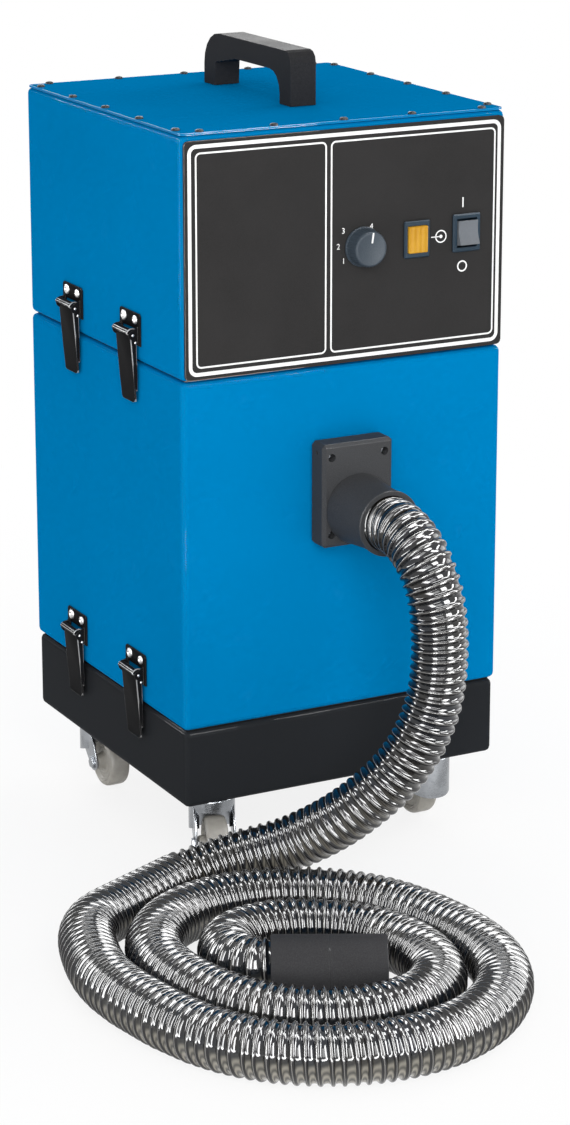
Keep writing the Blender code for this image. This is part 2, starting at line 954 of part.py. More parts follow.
def free_route():
    """From the collar's stop, straight out, down the hand-set route to the joint."""
    joint = Vector((joint_x, joint_y, lie_height))
    joint_way = heading_vector(joint_heading)
    stop = Vector((0, collar_mouth + socket_depth - fit_gap, port_z))
    middle = [Vector(point) for point in drop_route]
    straight_out = Vector((0, collar_mouth, port_z))
    landing = joint - joint_way * hose_end
    before_joint = joint - joint_way * fit_gap
    curve = smooth_route([straight_out, *middle, landing], smooth_steps)
    return [stop, *curve, before_joint]


def even_points(route, spacing):
    """Points at an equal distance along a polyline, both ends kept."""
    lengths = [0]
    for first, second in zip(route, route[1:]):
        lengths.append(lengths[-1] + (second - first).length)
    count = round(lengths[-1] / spacing / 2) * 2
    points = []
    index = 0
    for step in range(count + 1):
        along = lengths[-1] * step / count
        while index < len(route) - 2 and lengths[index + 1] < along:
            index += 1
        share = (along - lengths[index]) / (lengths[index + 1] - lengths[index])
        points.append(route[index].lerp(route[index + 1], share))
    return points


def tube(name, points, radii):
    curve = bpy.data.curves.new(name, "CURVE")
    curve.dimensions = "3D"
    curve.bevel_depth = 1
    curve.bevel_resolution = hose_round_steps
    curve.use_fill_caps = True
    spline = curve.splines.new("POLY")
    spline.points.add(len(points) - 1)
    for point, place, radius in zip(spline.points, points, radii):
        point.co = (*place, 1)
        point.radius = radius
    return from_curve(name, curve)


def thinned(points):
    """The fewest of the points whose chords stay within the bore's sag of the rest."""
    kept = [points[0]]
    start = 0
    for end in range(2, len(points)):
        chord = points[end] - points[start]
        way = chord.normalized()
        offsets = [points[i] - points[start] for i in range(start + 1, end)]
        if max((offset - way * offset.dot(way)).length for offset in offsets) > bore_sag:
            start = end - 1
            kept.append(points[start])
    kept.append(points[-1])
    return kept


def ribbed_hose(name, route):
    """A ribbed tube, its crest and root radii in turn, with a plainer tube cut out as its bore."""
    points = even_points(route, rib_pitch / 2)
    radii = [hose_radius - rib_depth * (step % 2) for step in range(len(points))]
    hose = tube(name, points, radii)
    core = thinned(points)
    first_way = (points[0] - points[1]).normalized()
    last_way = (points[-1] - points[-2]).normalized()
    core = [core[0] + first_way * overrun, *core[1:-1], core[-1] + last_way * overrun]
    cut(hose, tube("bore", core, [bore_radius] * len(core)))
    part(name, smooth(hose), "hose_plastic")
    return points


def report_gap(points):
    """Prints the least gap of the hose to itself, leaving out neighbours along it."""
    skip = math.ceil(neighbour_reach / (rib_pitch / 2))
    least = min(
        (points[i] - points[j]).length
        for i in range(len(points))
        for j in range(i + skip, len(points))
    )
    length = sum((second - first).length for first, second in zip(points, points[1:]))
    print(f"hose length {length:.3f} m, least gap to itself {(least - 2 * hose_radius) * 1000:.2f} mm")


def hose():
    free = ribbed_hose("hose_drop", free_route())
    coil = ribbed_hose("hose_coil", coil_route())
    report_gap(free + coil)


def hose_end_cuff():
    """Rubber cuff over the hose's end: local Z runs to its open mouth."""
    socket = hose_radius + fit_gap
    mouth_radius = cuff_radius - cuff_wall
    profile = [
        (mouth_radius, cuff_length),
        (cuff_radius - cuff_rim / 2, cuff_length),
        (cuff_radius, cuff_length - cuff_rim),
        (cuff_radius, cuff_rim),
        (cuff_radius - cuff_rim / 2, 0),
        (socket, 0),
        (socket, socket_depth),
        (bore_radius, socket_depth),
        (bore_radius, socket_depth + cuff_stop),
        (mouth_radius, socket_depth + cuff_stop),
    ]
    cuff = turned("cuff", profile, round_sides, lying, closed=True)
    part("hose_end_cuff", smooth(cuff), "cuff_rubber", (cuff_x, cuff_y, cuff_height), cuff_heading)


def latch_bracket():
    """Pressed plate with two folded ears; local X points out of the wall, pivot at the origin."""
    wall = -latch_pivot_out + fit_gap
    window = lever_width + 2 * fit_gap
    height = bracket_top + bracket_foot
    plate = box(
        "bracket",
        (bracket_thickness, bracket_width, height),
        (wall + bracket_thickness / 2, 0, (bracket_top - bracket_foot) / 2),
    )
    opening = height - bracket_web + overrun
    cut(
        plate,
        box(
            "window",
            (bracket_thickness + 2 * overrun, window, opening),
            (wall + bracket_thickness / 2, 0, -bracket_foot - overrun + opening / 2),
        ),
    )
    ears = []
    for side in (-1, 1):
        outline = arc((0, 0), ear_radius, -ear_round, ear_round, bend_steps)
        outline += [(wall + bracket_thickness / 2, bracket_top - bracket_web)]
        outline += [(wall + bracket_thickness / 2, -bracket_foot)]
        offset = (0, side * (window / 2 + ear_thickness / 2), 0)
        ear = extruded("ear", outline, ear_thickness, upright, offset)
        hole = rod(
            "ear_hole",
            latch_stub + fit_gap,
            (0, side * window / 2 - overrun, 0),
            (0, side * window / 2 + overrun, 0),
            pin_sides,
        )
        ears.append(cut(ear, hole))
    return smooth(join(plate, *ears)).data


def latch_lever():
    """Channel-shaped lever with its stub pivots and the crank pin that carries the link."""
    roll_start = math.asin(lever_top_out / lever_nose)
    outline = [
        *arc((0, 0), lever_nose, lever_back_angle, roll_start, bend_steps + 1),
        (lever_top_out, 0),
        (lever_tip_out, -lever_length),
        (lever_tip_out - lever_tip_flange, -lever_length),
        (-lever_flange_reach, 0),
    ]
    lever = extruded("lever", outline, lever_width, upright)
    inner = lever_width - 2 * lever_thickness
    face_top = lever_top_out - lever_thickness
    face_tip = lever_tip_out - lever_thickness
    room = lever_nose - lever_thickness
    room_start = math.asin((lever_top_out + lever_thickness) / room)
    hollow = [
        (room * math.cos(lever_roll_end), lever_nose + overrun),
        *arc((0, 0), room, lever_roll_end, room_start, bend_steps),
        (face_top, 0),
        (face_tip, -lever_length + lever_thickness),
        (face_tip - overrun, -lever_length + lever_thickness),
        (-lever_nose - overrun, 0),
        (-lever_nose - overrun, lever_nose + overrun),
    ]
    cut(lever, extruded("hollow", hollow, inner, upright))
    corners = []
    taper = (lever_width - lever_tip_width) / 2
    for side in (-1, 1):
        edge = side * lever_width / 2
        outline = [
            (edge + side * overrun, -lever_length - overrun),
            (edge + side * overrun, -latch_drop),
            (edge, -latch_drop),
            (edge - side * taper / 3, -lever_length + 2 * taper),
            (edge - side * taper * 3, -lever_length),
            (edge - side * taper * 3, -lever_length - overrun),
        ]
        corners.append(extruded("corner", outline, 2 * lever_length, across))
    cut(lever, *corners)
    stubs = []
    for side in (-1, 1):
        start = (0, side * (inner / 2 - lever_thickness / 2), 0)
        end = (0, side * (lever_width / 2 + ear_thickness + fit_gap), 0)
        stubs.append(rod("stub", latch_stub, start, end, pin_sides))
    crank = crank_place()
    reach = inner / 2 + lever_thickness / 2
    ends = (crank.x, -reach, crank.z), (crank.x, reach, crank.z)
    stubs.append(rod("crank_pin", latch_pin, *ends, pin_sides))
    return smooth(join(lever, *stubs)).data


def crank_place():
    """The link's pivot, seen from the lever's pivot, closed."""
    return Vector(
        (latch_crank * math.sin(latch_over_centre), 0, latch_crank * math.cos(latch_over_centre))
    )


def latch_link():
    """Flat pull link: an eye round the crank pin and a hook that draws the keeper up."""
    half = link_thickness / 2
    bottom_in = link_top_in + link_lean
    outline = [
        (-link_top_in + half, 0),
        (-link_top_in - half, 0),
        (-bottom_in - half, -link_length),
        (-bottom_in - hook_reach, -link_length),
        (-bottom_in - hook_reach, -link_length - hook_thickness),
        (-bottom_in + half, -link_length - hook_thickness),
    ]
    strip = extruded("strip", outline, link_width, upright)
    width = link_width / 2 - link_thickness
    join(strip, rod("eye", link_eye, (0, -width, 0), (0, width, 0), eye_sides))
    reach = link_width / 2 + overrun
    cut(strip, rod("eye_bore", latch_pin + fit_gap, (0, -reach, 0), (0, reach, 0), pin_sides))
    return smooth(strip).data


def latches():
    meshes = {"bracket": latch_bracket(), "lever": latch_lever(), "link": latch_link()}
    loose = [obj for obj in cutters.objects if obj.data in meshes.values()]
    for obj in loose:
        bpy.data.objects.remove(obj, do_unlink=True)
    seams = {
        "upper": (housing_top + seam_gap / 2 + latch_drop, latch_upper_y),
        "lower": (tray_top + seam_gap / 2 + latch_drop + latch_lower_lift, latch_lower_y),
    }
    for seam, (z, y) in seams.items():
        for hand, side in (("left", -1), ("right", 1)):
            for end, row in (("front", -1), ("back", 1)):
                stem = f"{seam}_latch_{hand}_{end}"
                pivot = Vector((side * (cabinet_width / 2 + latch_pivot_out), row * y, z))
                turn = 0.0 if side > 0 else math.pi
                crank = crank_place()
                crank.x *= side
                part(f"{stem}_bracket", helper(stem, meshes["bracket"]), "black_steel", pivot, turn)
                part(f"{stem}_lever", helper(stem, meshes["lever"]), "black_steel", pivot, turn)
                part(f"{stem}_link", helper(stem, meshes["link"]), "black_steel", pivot + crank, turn)


def caster_plate_mesh():
    """Top plate with its bearing race; local origin on the swivel axis, at the floor."""
    top = caster_height - fit_gap
    middle = top - caster_plate_thickness / 2
    outline = rounded_rectangle(caster_plate, caster_plate, caster_plate_radius, 2)
    plate = extruded("plate", outline, caster_plate_thickness, offset=(0, 0, middle))
    low = top - caster_plate_thickness - race_height
    join(plate, rod("race", race_radius, (0, 0, low), (0, 0, middle), caster_sides))
    tall = (0, 0, caster_height + overrun)
    return cut(plate, rod("king_hole", king_radius + fit_gap, (0, 0, low - overrun), tall, small_sides))


def caster_fork_mesh():
    """Swivel fork: a domed hood arched over the wheel, two legs and the axle; it trails to local +X."""
    dome_top = caster_height - 2 * fit_gap - caster_plate_thickness - race_height
    dome_low = dome_top - dome_height
    hood_low = dome_top - hood_drop
    profile = [
        (0, caster_height - fit_gap - caster_plate_thickness / 2),
        (king_radius, caster_height - fit_gap - caster_plate_thickness / 2),
        (king_radius, dome_top),
        (dome_radius - dome_crown, dome_top),
        (dome_radius, dome_top - dome_crown),
        (dome_radius, hood_low),
        (dome_radius - fork_sheet, hood_low),
        (dome_radius - fork_sheet, dome_low),
        (0, dome_low),
    ]
    fork = turned("fork", profile, round_sides)
    leg_out = wheel_width / 2 + wheel_hub_proud + fork_gap
    arch_radius = wheel_radius + arch_gap
    ends = (trail, -leg_out, wheel_radius), (trail, leg_out, wheel_radius)
    cut(fork, rod("arch", arch_radius, *ends, round_sides))
    axle = (trail, wheel_radius)
    outline = arc(axle, fork_eye, math.radians(200), math.radians(350), bend_steps + 1)
    outline += [(trail, hood_low), (fork_shoulder, dome_low + fork_sheet)]
    outline += [(-fork_shoulder, dome_low + fork_sheet), (-fork_shoulder, hood_low)]
    pieces = []
    for side in (-1, 1):
        offset = (0, side * (leg_out + fork_sheet / 2), 0)
        pieces.append(extruded("leg", outline, fork_sheet, upright, offset))
        start = (trail, side * (leg_out + fork_sheet / 2), wheel_radius)
        end = (trail, side * (leg_out + fork_sheet + nut_length), wheel_radius)
        pieces.append(rod("nut", nut_radius, start, end, hexagon_sides))
    reach = leg_out + fork_sheet / 2
    ends = (trail, -reach, wheel_radius), (trail, reach, wheel_radius)
    pieces.append(rod("axle", axle_radius, *ends, eye_sides))
    return smooth(join(fork, *pieces))


def caster_wheel_mesh():
    """Wheel with recessed sides; local Y is its axle."""
    half = wheel_width / 2
    bore = axle_radius + axle_gap
    recess = half - wheel_recess
    side = [
        (bore, half + wheel_hub_proud),
        (wheel_hub_radius, half + wheel_hub_proud),
        (wheel_hub_radius + wheel_hub_flare, recess),
        (wheel_rim_radius - wheel_shoulder, recess),
        (wheel_rim_radius, half),
        (wheel_radius - wheel_shoulder, half),
        (wheel_radius, half - wheel_shoulder),
    ]
    profile = side + [(radius, -height) for radius, height in reversed(side)]
    return smooth(turned("wheel", profile, caster_sides, upright, closed=True))


def casters():
    masters = {"plate": caster_plate_mesh(), "fork": caster_fork_mesh(), "wheel": caster_wheel_mesh()}
    meshes = {kind: master.data for kind, master in masters.items()}
    for master in masters.values():
        bpy.data.objects.remove(master, do_unlink=True)
    for corner, heading in caster_headings.items():
        x = caster_x if corner.endswith("right") else -caster_x
        y = caster_y if corner.startswith("back") else -caster_y
        stem = f"{corner}_caster"
        part(f"{stem}_plate", helper(stem, meshes["plate"]), "zinc", (x, y, 0))
        part(f"{stem}_fork", helper(stem, meshes["fork"]), "zinc", (x, y, 0), heading)
        axle = Vector((x, y, wheel_radius)) + heading_vector(heading) * trail
        part(f"{stem}_wheel", helper(stem, meshes["wheel"]), "wheel_grey", axle, heading)


def filter_cartridge():
    """Pleated paper pack glued into an open frame, which stands on the ledges."""
    bottom = ledge_height + fit_gap
    middle = bottom + filter_height / 2
    frame = box("frame", (filter_width, filter_depth, filter_height), (0, 0, middle))
    hollow = (filter_width - 2 * filter_wall, filter_depth - 2 * filter_wall, filter_height + 2 * overrun)
    cut(frame, box("frame_hole", hollow, (0, 0, middle)))
    span = filter_width - filter_wall
    low = bottom + pleat_margin
    high = bottom + filter_height - pleat_margin - pleat_paper
    steps = 2 * pleat_count
    fold = []
    for step in range(steps + 1):
        fold.append((-span / 2 + span * step / steps, high if step % 2 else low))
    outline = fold + [(x, z + pleat_paper) for x, z in reversed(fold)]
    pack = extruded("pack", outline, filter_depth - filter_wall, upright)
    part("filter_cartridge", join(frame, pack), "filter_paper")


def motor_deck():
    level = head_bottom + sheet + fit_gap
    size = (
        cabinet_width - 2 * sheet - 2 * deck_margin,
        cabinet_depth - 2 * sheet - 2 * deck_margin,
        deck_thickness,
    )
    deck = box("deck", size, (0, 0, level + deck_thickness / 2))
    bevelled(deck, deck_thickness / 4, 1)
    hole = rod(
        "deck_hole",
        deck_hole,
        (0, blower_y, level - overrun),
        (0, blower_y, level + deck_thickness + overrun),
        round_sides,
    )
    part("motor_deck", cut(deck, hole), "galvanised")
    seat = level + deck_thickness + fit_gap
    profile = [
        (motor_radius - blower_edge, seat + blower_height + motor_height),
        (motor_radius, seat + blower_height + motor_height - blower_edge),
        (motor_radius, seat + blower_height),
        (blower_radius - blower_edge, seat + blower_height),
        (blower_radius, seat + blower_height - blower_edge),
        (blower_radius, seat),
        (deck_hole, seat),
        (deck_hole, seat + blower_height / 2),
    ]
    profile = [(0, profile[0][1]), *profile, (0, seat + blower_height / 2)]
    blower = turned("blower", profile, round_sides, offset=(0, blower_y, 0))
    part("blower_motor", smooth(blower), "motor_metal")


def exhaust_grille():
    middle = (0, back + fit_gap + grille_thickness / 2, grille_z)
    plate = box("grille", (grille_width, grille_thickness, grille_height), middle)
    bevelled(plate, grille_thickness / 3, 1)
    clear_height = grille_height - 2 * grille_lip
    pitch = clear_height / grille_slots
    tools = []
    for slot in range(grille_slots):
        size = (
            grille_width - 2 * grille_lip,
            grille_thickness + 2 * overrun,
            pitch * (1 - grille_bar_share),
        )
        z = grille_z + pitch * (slot - (grille_slots - 1) / 2)
        tools.append(box("slot", size, (middle[0], middle[1], z)))
    part("exhaust_grille", cut(plate, *tools), "black_plastic")


def cord_gland():
    """Hexagon body outside the back wall, its nut inside, and the hole for a mains cord."""
    outside = back + fit_gap
    inside = back - sheet - fit_gap
    profile = [
        (gland_bore, gland_length),
        (gland_radius - bead_height, gland_length),
        (gland_radius, gland_length - bead_length),
        (gland_radius, gland_hex_length / 2),
        (gland_bore, gland_hex_length / 2),
    ]
    stand = Matrix.Rotation(math.radians(-90), 4, "X")
    gland = turned("gland", profile, small_sides, stand, (gland_x, outside, gland_z), closed=True)
    pieces = (
        ("hex", gland_hex, outside, outside + gland_hex_length, hexagon_sides),
        ("thread", gland_thread, inside - gland_nut_length, outside + fit_gap, small_sides),
        ("nut", gland_hex, inside - gland_nut_length, inside, hexagon_sides),
    )
    for name, radius, start, end, sides in pieces:
        join(gland, rod(name, radius, (gland_x, start, gland_z), (gland_x, end, gland_z), sides))
    bore_start = (gland_x, inside - gland_nut_length - overrun, gland_z)
    bore_end = (gland_x, outside + gland_length + overrun, gland_z)
    cut(gland, rod("gland_bore", gland_bore, bore_start, bore_end, small_sides))
    part("cord_gland", smooth(gland), "black_plastic")


clear_scene()
parts = new_collection("welding_fume_extractor")
cutters = new_collection("cutters")
base_tray()
casters()
filter_housing()
seal("lower_seal", tray_top)
seal("upper_seal", housing_top)
holes = panel_cutters()
head_shell(holes)
control_panel(holes)
top_cover()
carry_handle()
airflow_knob()
lamp()
power_switch()
inlet_block()
hose_collar()
spark_baffle()
hose()
hose_end_cuff()
latches()
filter_cartridge()
motor_deck()
exhaust_grille()
cord_gland()
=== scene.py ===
import math

import bmesh
import bpy
from mathutils import Matrix, Vector


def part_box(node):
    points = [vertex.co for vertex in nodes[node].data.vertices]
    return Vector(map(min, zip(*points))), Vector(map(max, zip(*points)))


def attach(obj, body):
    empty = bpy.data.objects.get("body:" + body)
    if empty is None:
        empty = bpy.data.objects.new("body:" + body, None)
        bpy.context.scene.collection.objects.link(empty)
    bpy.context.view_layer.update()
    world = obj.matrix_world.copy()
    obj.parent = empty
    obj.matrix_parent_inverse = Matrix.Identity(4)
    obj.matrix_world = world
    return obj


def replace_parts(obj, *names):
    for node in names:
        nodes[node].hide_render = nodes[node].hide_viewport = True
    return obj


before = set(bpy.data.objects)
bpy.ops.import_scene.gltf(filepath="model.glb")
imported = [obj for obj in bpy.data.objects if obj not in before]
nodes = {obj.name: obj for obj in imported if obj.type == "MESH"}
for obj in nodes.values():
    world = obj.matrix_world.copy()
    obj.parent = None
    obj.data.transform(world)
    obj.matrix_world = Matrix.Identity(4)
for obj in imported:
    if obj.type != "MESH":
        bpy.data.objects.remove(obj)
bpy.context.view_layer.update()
print("frame loaded:", len(nodes), "nodes")


# Camera: pitched down with a small shift, so that the cabinet's sides stay nearly upright
cameraSettings = {
    "place": (-1.3035, -2.5194, 1.1023),
    "heading": 27.812,
    "down": 14.953,
    "lens": 100.72,
    "shiftUp": -0.1,
    "farEnd": 50,
}


def addCamera(s):
    data = bpy.data.cameras.new("photoCamera")
    data.lens = s["lens"]
    data.shift_y = s["shiftUp"]
    data.clip_end = s["farEnd"]
    camera = bpy.data.objects.new("photoCamera", data)
    camera.location = s["place"]
    camera.rotation_euler = (math.radians(90 - s["down"]), 0, math.radians(-s["heading"]))
    bpy.context.scene.collection.objects.link(camera)
    bpy.context.scene.camera = camera


addCamera(cameraSettings)


# Materials: a socket that takes part in sums, a tree that makes nodes, and a finish built on it
class Wire:
    def __init__(self, finish, socket):
        self.finish = finish
        self.socket = socket

    def sum(self, operation, left, right):
        return self.finish.sum(operation, left, right)

    def __add__(self, other):
        return self.sum("ADD", self, other)

    def __radd__(self, other):
        return self.sum("ADD", other, self)

    def __sub__(self, other):
        return self.sum("SUBTRACT", self, other)

    def __rsub__(self, other):
        return self.sum("SUBTRACT", other, self)

    def __mul__(self, other):
        return self.sum("MULTIPLY", self, other)

    def __rmul__(self, other):
        return self.sum("MULTIPLY", other, self)


class NodeTree:
    def __init__(self, tree, outputKind):
        self.tree = tree
        self.tree.nodes.clear()
        self.output = self.tree.nodes.new(outputKind)

    def node(self, kind, settings, sockets, result=0):
        made = self.tree.nodes.new(kind)
        for key, value in settings.items():
            setattr(made, key, value)
        for key, value in sockets.items():
            if isinstance(value, Wire):
                self.tree.links.new(value.socket, made.inputs[key])
            else:
                made.inputs[key].default_value = value
        return Wire(self, made.outputs[result])

    def sum(self, operation, left, right):
        return self.node("ShaderNodeMath", {"operation": operation}, {0: left, 1: right})

    def ray(self, kind):
        return self.node("ShaderNodeLightPath", {}, {}, f"Is {kind} Ray")

    def show(self, wire):
        self.tree.links.new(wire.socket, self.output.inputs[0])


class Finish(NodeTree):
    def __init__(self, name, fixed):
        self.material = bpy.data.materials.new(name)
        self.material.use_nodes = True
        super().__init__(self.material.node_tree, "ShaderNodeOutputMaterial")
        self.surface = self.node("ShaderNodeBsdfPrincipled", {}, fixed)
        self.show(self.surface)
        self.place = self.node("ShaderNodeTexCoord", {}, {}, "Object")

    def noise(self, scale, detail=2.0, rough=0.5, place=None):
        sockets = {"Vector": place or self.place, "Scale": scale, "Detail": detail, "Roughness": rough}
        return self.node("ShaderNodeTexNoise", {}, sockets)

    def blend(self, amount, first, second):
        colours = [c if isinstance(c, Wire) else (*c, 1) for c in (first, second)]
        sockets = {0: amount, 6: colours[0], 7: colours[1]}
        return self.node("ShaderNodeMix", {"data_type": "RGBA"}, sockets, 2)

    def clamp(self, value, low, high):
        sockets = {"Value": value, "From Min": low, "From Max": high}
        return self.node("ShaderNodeMapRange", {"clamp": True}, sockets)

    def dot(self, first, second):
        settings = {"operation": "DOT_PRODUCT"}
        return self.node("ShaderNodeVectorMath", settings, {0: first, 1: second}, "Value")

    # A value that a piece's mesh carries
    def stored(self, name):
        return self.node("ShaderNodeAttribute", {"attribute_name": name}, {}, "Fac")

    def facing(self):
        return self.node("ShaderNodeNewGeometry", {}, {}, "Normal")

    # One along outer edges, none on flat ground
    def edges(self, reach):
        rounded = self.node("ShaderNodeBevel", {"samples": 4}, {"Radius": reach})
        return self.clamp(1 - self.dot(self.facing(), rounded), 0.02, 0.20)

    def link(self, wire, socket):
        self.tree.links.new(wire.socket, self.surface.socket.node.inputs[socket])

    def feed(self, **wires):
        names = {
            "colour": "Base Color",
            "roughness": "Roughness",
            "coat": "Coat Weight",
        }
        for key, wire in wires.items():
            self.link(wire, names[key])
        return self

    def bump(self, height, strength, distance):
        sockets = {"Height": height, "Strength": strength, "Distance": distance}
        self.link(self.node("ShaderNodeBump", {}, sockets), "Normal")
        return self


# Powder coat: orange peel, faint clouding, a few rubbed spots
def powderCoat(name, colour, s):
    f = Finish(name, {"Specular IOR Level": s["specular"]})
    cloud = f.clamp(f.noise(s["cloud"], 3.0), 0.35, 0.65)
    dust = f.clamp(f.noise(s["dust"], 4.0, 0.7), 0.62, 0.80)
    deep = tuple(c * s["deep"] for c in colour)
    pale = tuple(min(1, c * s["pale"] + 0.01) for c in colour)
    shade = f.blend(cloud, deep, colour)
    rough = s["rough"] + 0.05 * cloud + 0.10 * dust
    coat = f.edges(s["edge"]) * s["edgeCoat"]
    f.feed(colour=f.blend(dust * 0.35, shade, pale), roughness=rough, coat=coat)
    return f.bump(f.noise(s["peel"], 2.0), s["peelStrength"], s["peelDepth"]).material


powderSettings = {
    "rough": 0.40,
    "specular": 0.0,
    "edge": 0.0016,
    "edgeCoat": 0.7,
    "cloud": 6.0,
    "dust": 38.0,
    "deep": 0.95,
    "pale": 1.06,
    "peel": 900.0,
    "peelStrength": 0.10,
    "peelDepth": 0.0003,
}
blueCoat = powderCoat("blueCoat", (0.0, 0.212, 0.510), powderSettings)
blackCoat = powderCoat("blackCoat", (0.023, 0.025, 0.028), {
    **powderSettings, "rough": 0.30, "specular": 0.003, "edgeCoat": 1.0})


# Moulded and printed plastics: fine leather-like grain
def mouldedPlastic(name, colour, s):
    f = Finish(name, {"Specular IOR Level": s["specular"]})
    spots = f.clamp(f.noise(s["grain"] * 1.3, 3.0, 0.6), 0.40, 0.66)
    cloud = f.noise(22.0, 3.0)
    pale = tuple(c + s["speckle"] for c in colour)
    deep = tuple(c * 0.8 for c in colour)
    shade = f.blend(f.clamp(cloud, 0.3, 0.7), deep, colour)
    rough = s["rough"] + 0.12 * cloud
    f.feed(colour=f.blend(spots, shade, pale), roughness=rough, coat=f.edges(0.0012) * 0.4)
    return f.bump(f.noise(s["grain"], 3.0, 0.6), s["grainStrength"], 0.0002).material


handlePlastic = mouldedPlastic("handlePlastic", (0.024, 0.024, 0.026), {
    "rough": 0.32, "grain": 1400.0, "grainStrength": 0.35, "speckle": 0.014, "specular": 0.008})
blockPlastic = mouldedPlastic("blockPlastic", (0.050, 0.052, 0.056), {
    "rough": 0.42, "grain": 1100.0, "grainStrength": 0.22, "speckle": 0.016, "specular": 0.03})
fasciaFilm = mouldedPlastic("fasciaFilm", (0.034, 0.033, 0.033), {
    "rough": 0.50, "grain": 2400.0, "grainStrength": 0.12, "speckle": 0.012, "specular": 0.0})
knobPlastic = mouldedPlastic("knobPlastic", (0.042, 0.058, 0.076), {
    "rough": 0.30, "grain": 1500.0, "grainStrength": 0.12, "speckle": 0.012, "specular": 0.06})
bezelPlastic = mouldedPlastic("bezelPlastic", (0.016, 0.036, 0.058), {
    "rough": 0.28, "grain": 1500.0, "grainStrength": 0.10, "speckle": 0.008, "specular": 0.05})
rockerPlastic = mouldedPlastic("rockerPlastic", (0.150, 0.165, 0.185), {
    "rough": 0.40, "grain": 1800.0, "grainStrength": 0.20, "speckle": 0.05, "specular": 0.03})
cuffRubber = mouldedPlastic("cuffRubber", (0.048, 0.048, 0.051), {
    "rough": 0.46, "grain": 900.0, "grainStrength": 0.15, "speckle": 0.012, "specular": 0.012})
glandPlastic = mouldedPlastic("glandPlastic", (0.022, 0.022, 0.023), {
    "rough": 0.38, "grain": 1500.0, "grainStrength": 0.15, "speckle": 0.010, "specular": 0.03})
sealFoam = mouldedPlastic("sealFoam", (0.012, 0.012, 0.012), {
    "rough": 0.80, "grain": 1900.0, "grainStrength": 0.60, "speckle": 0.006, "specular": 0.03})


def lampAmber():
    f = Finish("lampAmber", {"Specular IOR Level": 0.05})
    flutes = f.node(
        "ShaderNodeTexWave",
        {"wave_type": "BANDS", "bands_direction": "X", "wave_profile": "SIN"},
        {"Vector": f.place, "Scale": 62.0, "Distortion": 0.0},
    )
    glow = f.clamp(f.noise(60.0, 2.0), 0.35, 0.7)
    deep = f.blend(glow, (0.50, 0.235, 0.012), (0.60, 0.31, 0.020))
    f.feed(colour=f.blend(flutes * 0.25, deep, (0.74, 0.44, 0.06)), roughness=0.22 + 0.1 * glow)
    return f.bump(flutes, 0.25, 0.0003).material


amberLens = lampAmber()


# Metals: zinc with spangle, and black lacquered steel with a painted highlight along its edges
def plate(name, colour, s):
    f = Finish(name, {"Metallic": s["metallic"], "Specular IOR Level": s.get("specular", 0.5)})
    stretched = f.node("ShaderNodeMapping", {}, {"Vector": f.place, "Scale": s["stretch"]})
    brushed = f.noise(s["grain"], 4.0, 0.6, stretched)
    stain = f.clamp(f.noise(s["grain"] * 0.12, 4.0, 0.6), 0.38, 0.68)
    dull = tuple(c * s["dull"] for c in colour)
    shade = f.blend(stain, dull, colour)
    # Painted highlight: faces the mesh marks as rim, and outer edges at half strength, are lightened
    # towards pale grey; they also get a clear coat
    if "paintedHighlight" in s:
        edges = f.sum("MAXIMUM", f.stored("rim"), f.edges(s["edge"]) * 0.5)
        shade = f.blend(edges * s["paintedHighlight"], shade, (0.62, 0.62, 0.62))
        f.feed(coat=edges)
    f.feed(colour=shade, roughness=s["rough"] + 0.18 * brushed + 0.08 * stain)
    return f.bump(brushed, s["bump"], 0.0001).material


zincPlate = plate("zincPlate", (0.33, 0.345, 0.365), {
    "rough": 0.16, "grain": 260.0,
    "metallic": 1.0, "stretch": (1, 1, 6), "dull": 0.62, "bump": 0.10})
galvanised = plate("galvanised", (0.50, 0.51, 0.53), {
    "rough": 0.32, "grain": 120.0,
    "metallic": 1.0, "stretch": (1, 1, 1), "dull": 0.80, "bump": 0.05})
castMotor = plate("castMotor", (0.42, 0.43, 0.44), {
    "rough": 0.42, "grain": 400.0,
    "metallic": 0.9, "stretch": (1, 1, 1), "dull": 0.85, "bump": 0.25})
brightSteel = plate("brightSteel", (0.50, 0.50, 0.50), {
    "rough": 0.30, "grain": 300.0,
    "metallic": 1.0, "stretch": (1, 1, 3), "dull": 0.85, "bump": 0.05})
blackSteel = plate("blackSteel", (0.014, 0.014, 0.015), {
    "rough": 0.24, "grain": 220.0,
    "metallic": 0.0, "specular": 0.004, "stretch": (1, 1, 5), "dull": 0.75, "bump": 0.06,
    "edge": 0.0005, "paintedHighlight": 0.5})
screwBlack = plate("screwBlack", (0.03, 0.03, 0.033), {
    "rough": 0.22, "grain": 500.0,
    "metallic": 0.0, "specular": 0.12, "stretch": (1, 1, 1), "dull": 0.7, "bump": 0.05})


def casterTyre():
    f = Finish("casterTyre", {"Specular IOR Level": 0.4})
    scuff = f.clamp(f.noise(140.0, 5.0, 0.65), 0.42, 0.70)
    cloud = f.noise(45.0, 3.0)
    shade = f.blend(cloud, (0.33, 0.315, 0.28), (0.42, 0.40, 0.36))
    f.feed(colour=f.blend(scuff * 0.5, shade, (0.27, 0.255, 0.235)), roughness=0.45 + 0.2 * scuff)
    return f.bump(f.noise(800.0, 3.0), 0.15, 0.0002).material


wheelGrey = casterTyre()


def whiteInk():
    f = Finish("whiteInk", {"Specular IOR Level": 0.3})
    worn = f.noise(900.0, 2.0)
    f.feed(colour=f.blend(worn, (0.78, 0.78, 0.78), (0.90, 0.90, 0.90)), roughness=0.45 + 0.1 * worn)
    return f.material


printWhite = whiteInk()


def pleatedPaper():
    f = Finish("pleatedPaper", {"Specular IOR Level": 0.2})
    fibre = f.noise(700.0, 5.0, 0.7)
    f.feed(colour=f.blend(fibre, (0.66, 0.63, 0.54), (0.82, 0.80, 0.72)), roughness=0.85 + 0.1 * fibre)
    return f.bump(fibre, 0.3, 0.0003).material


filterPaper = pleatedPaper()
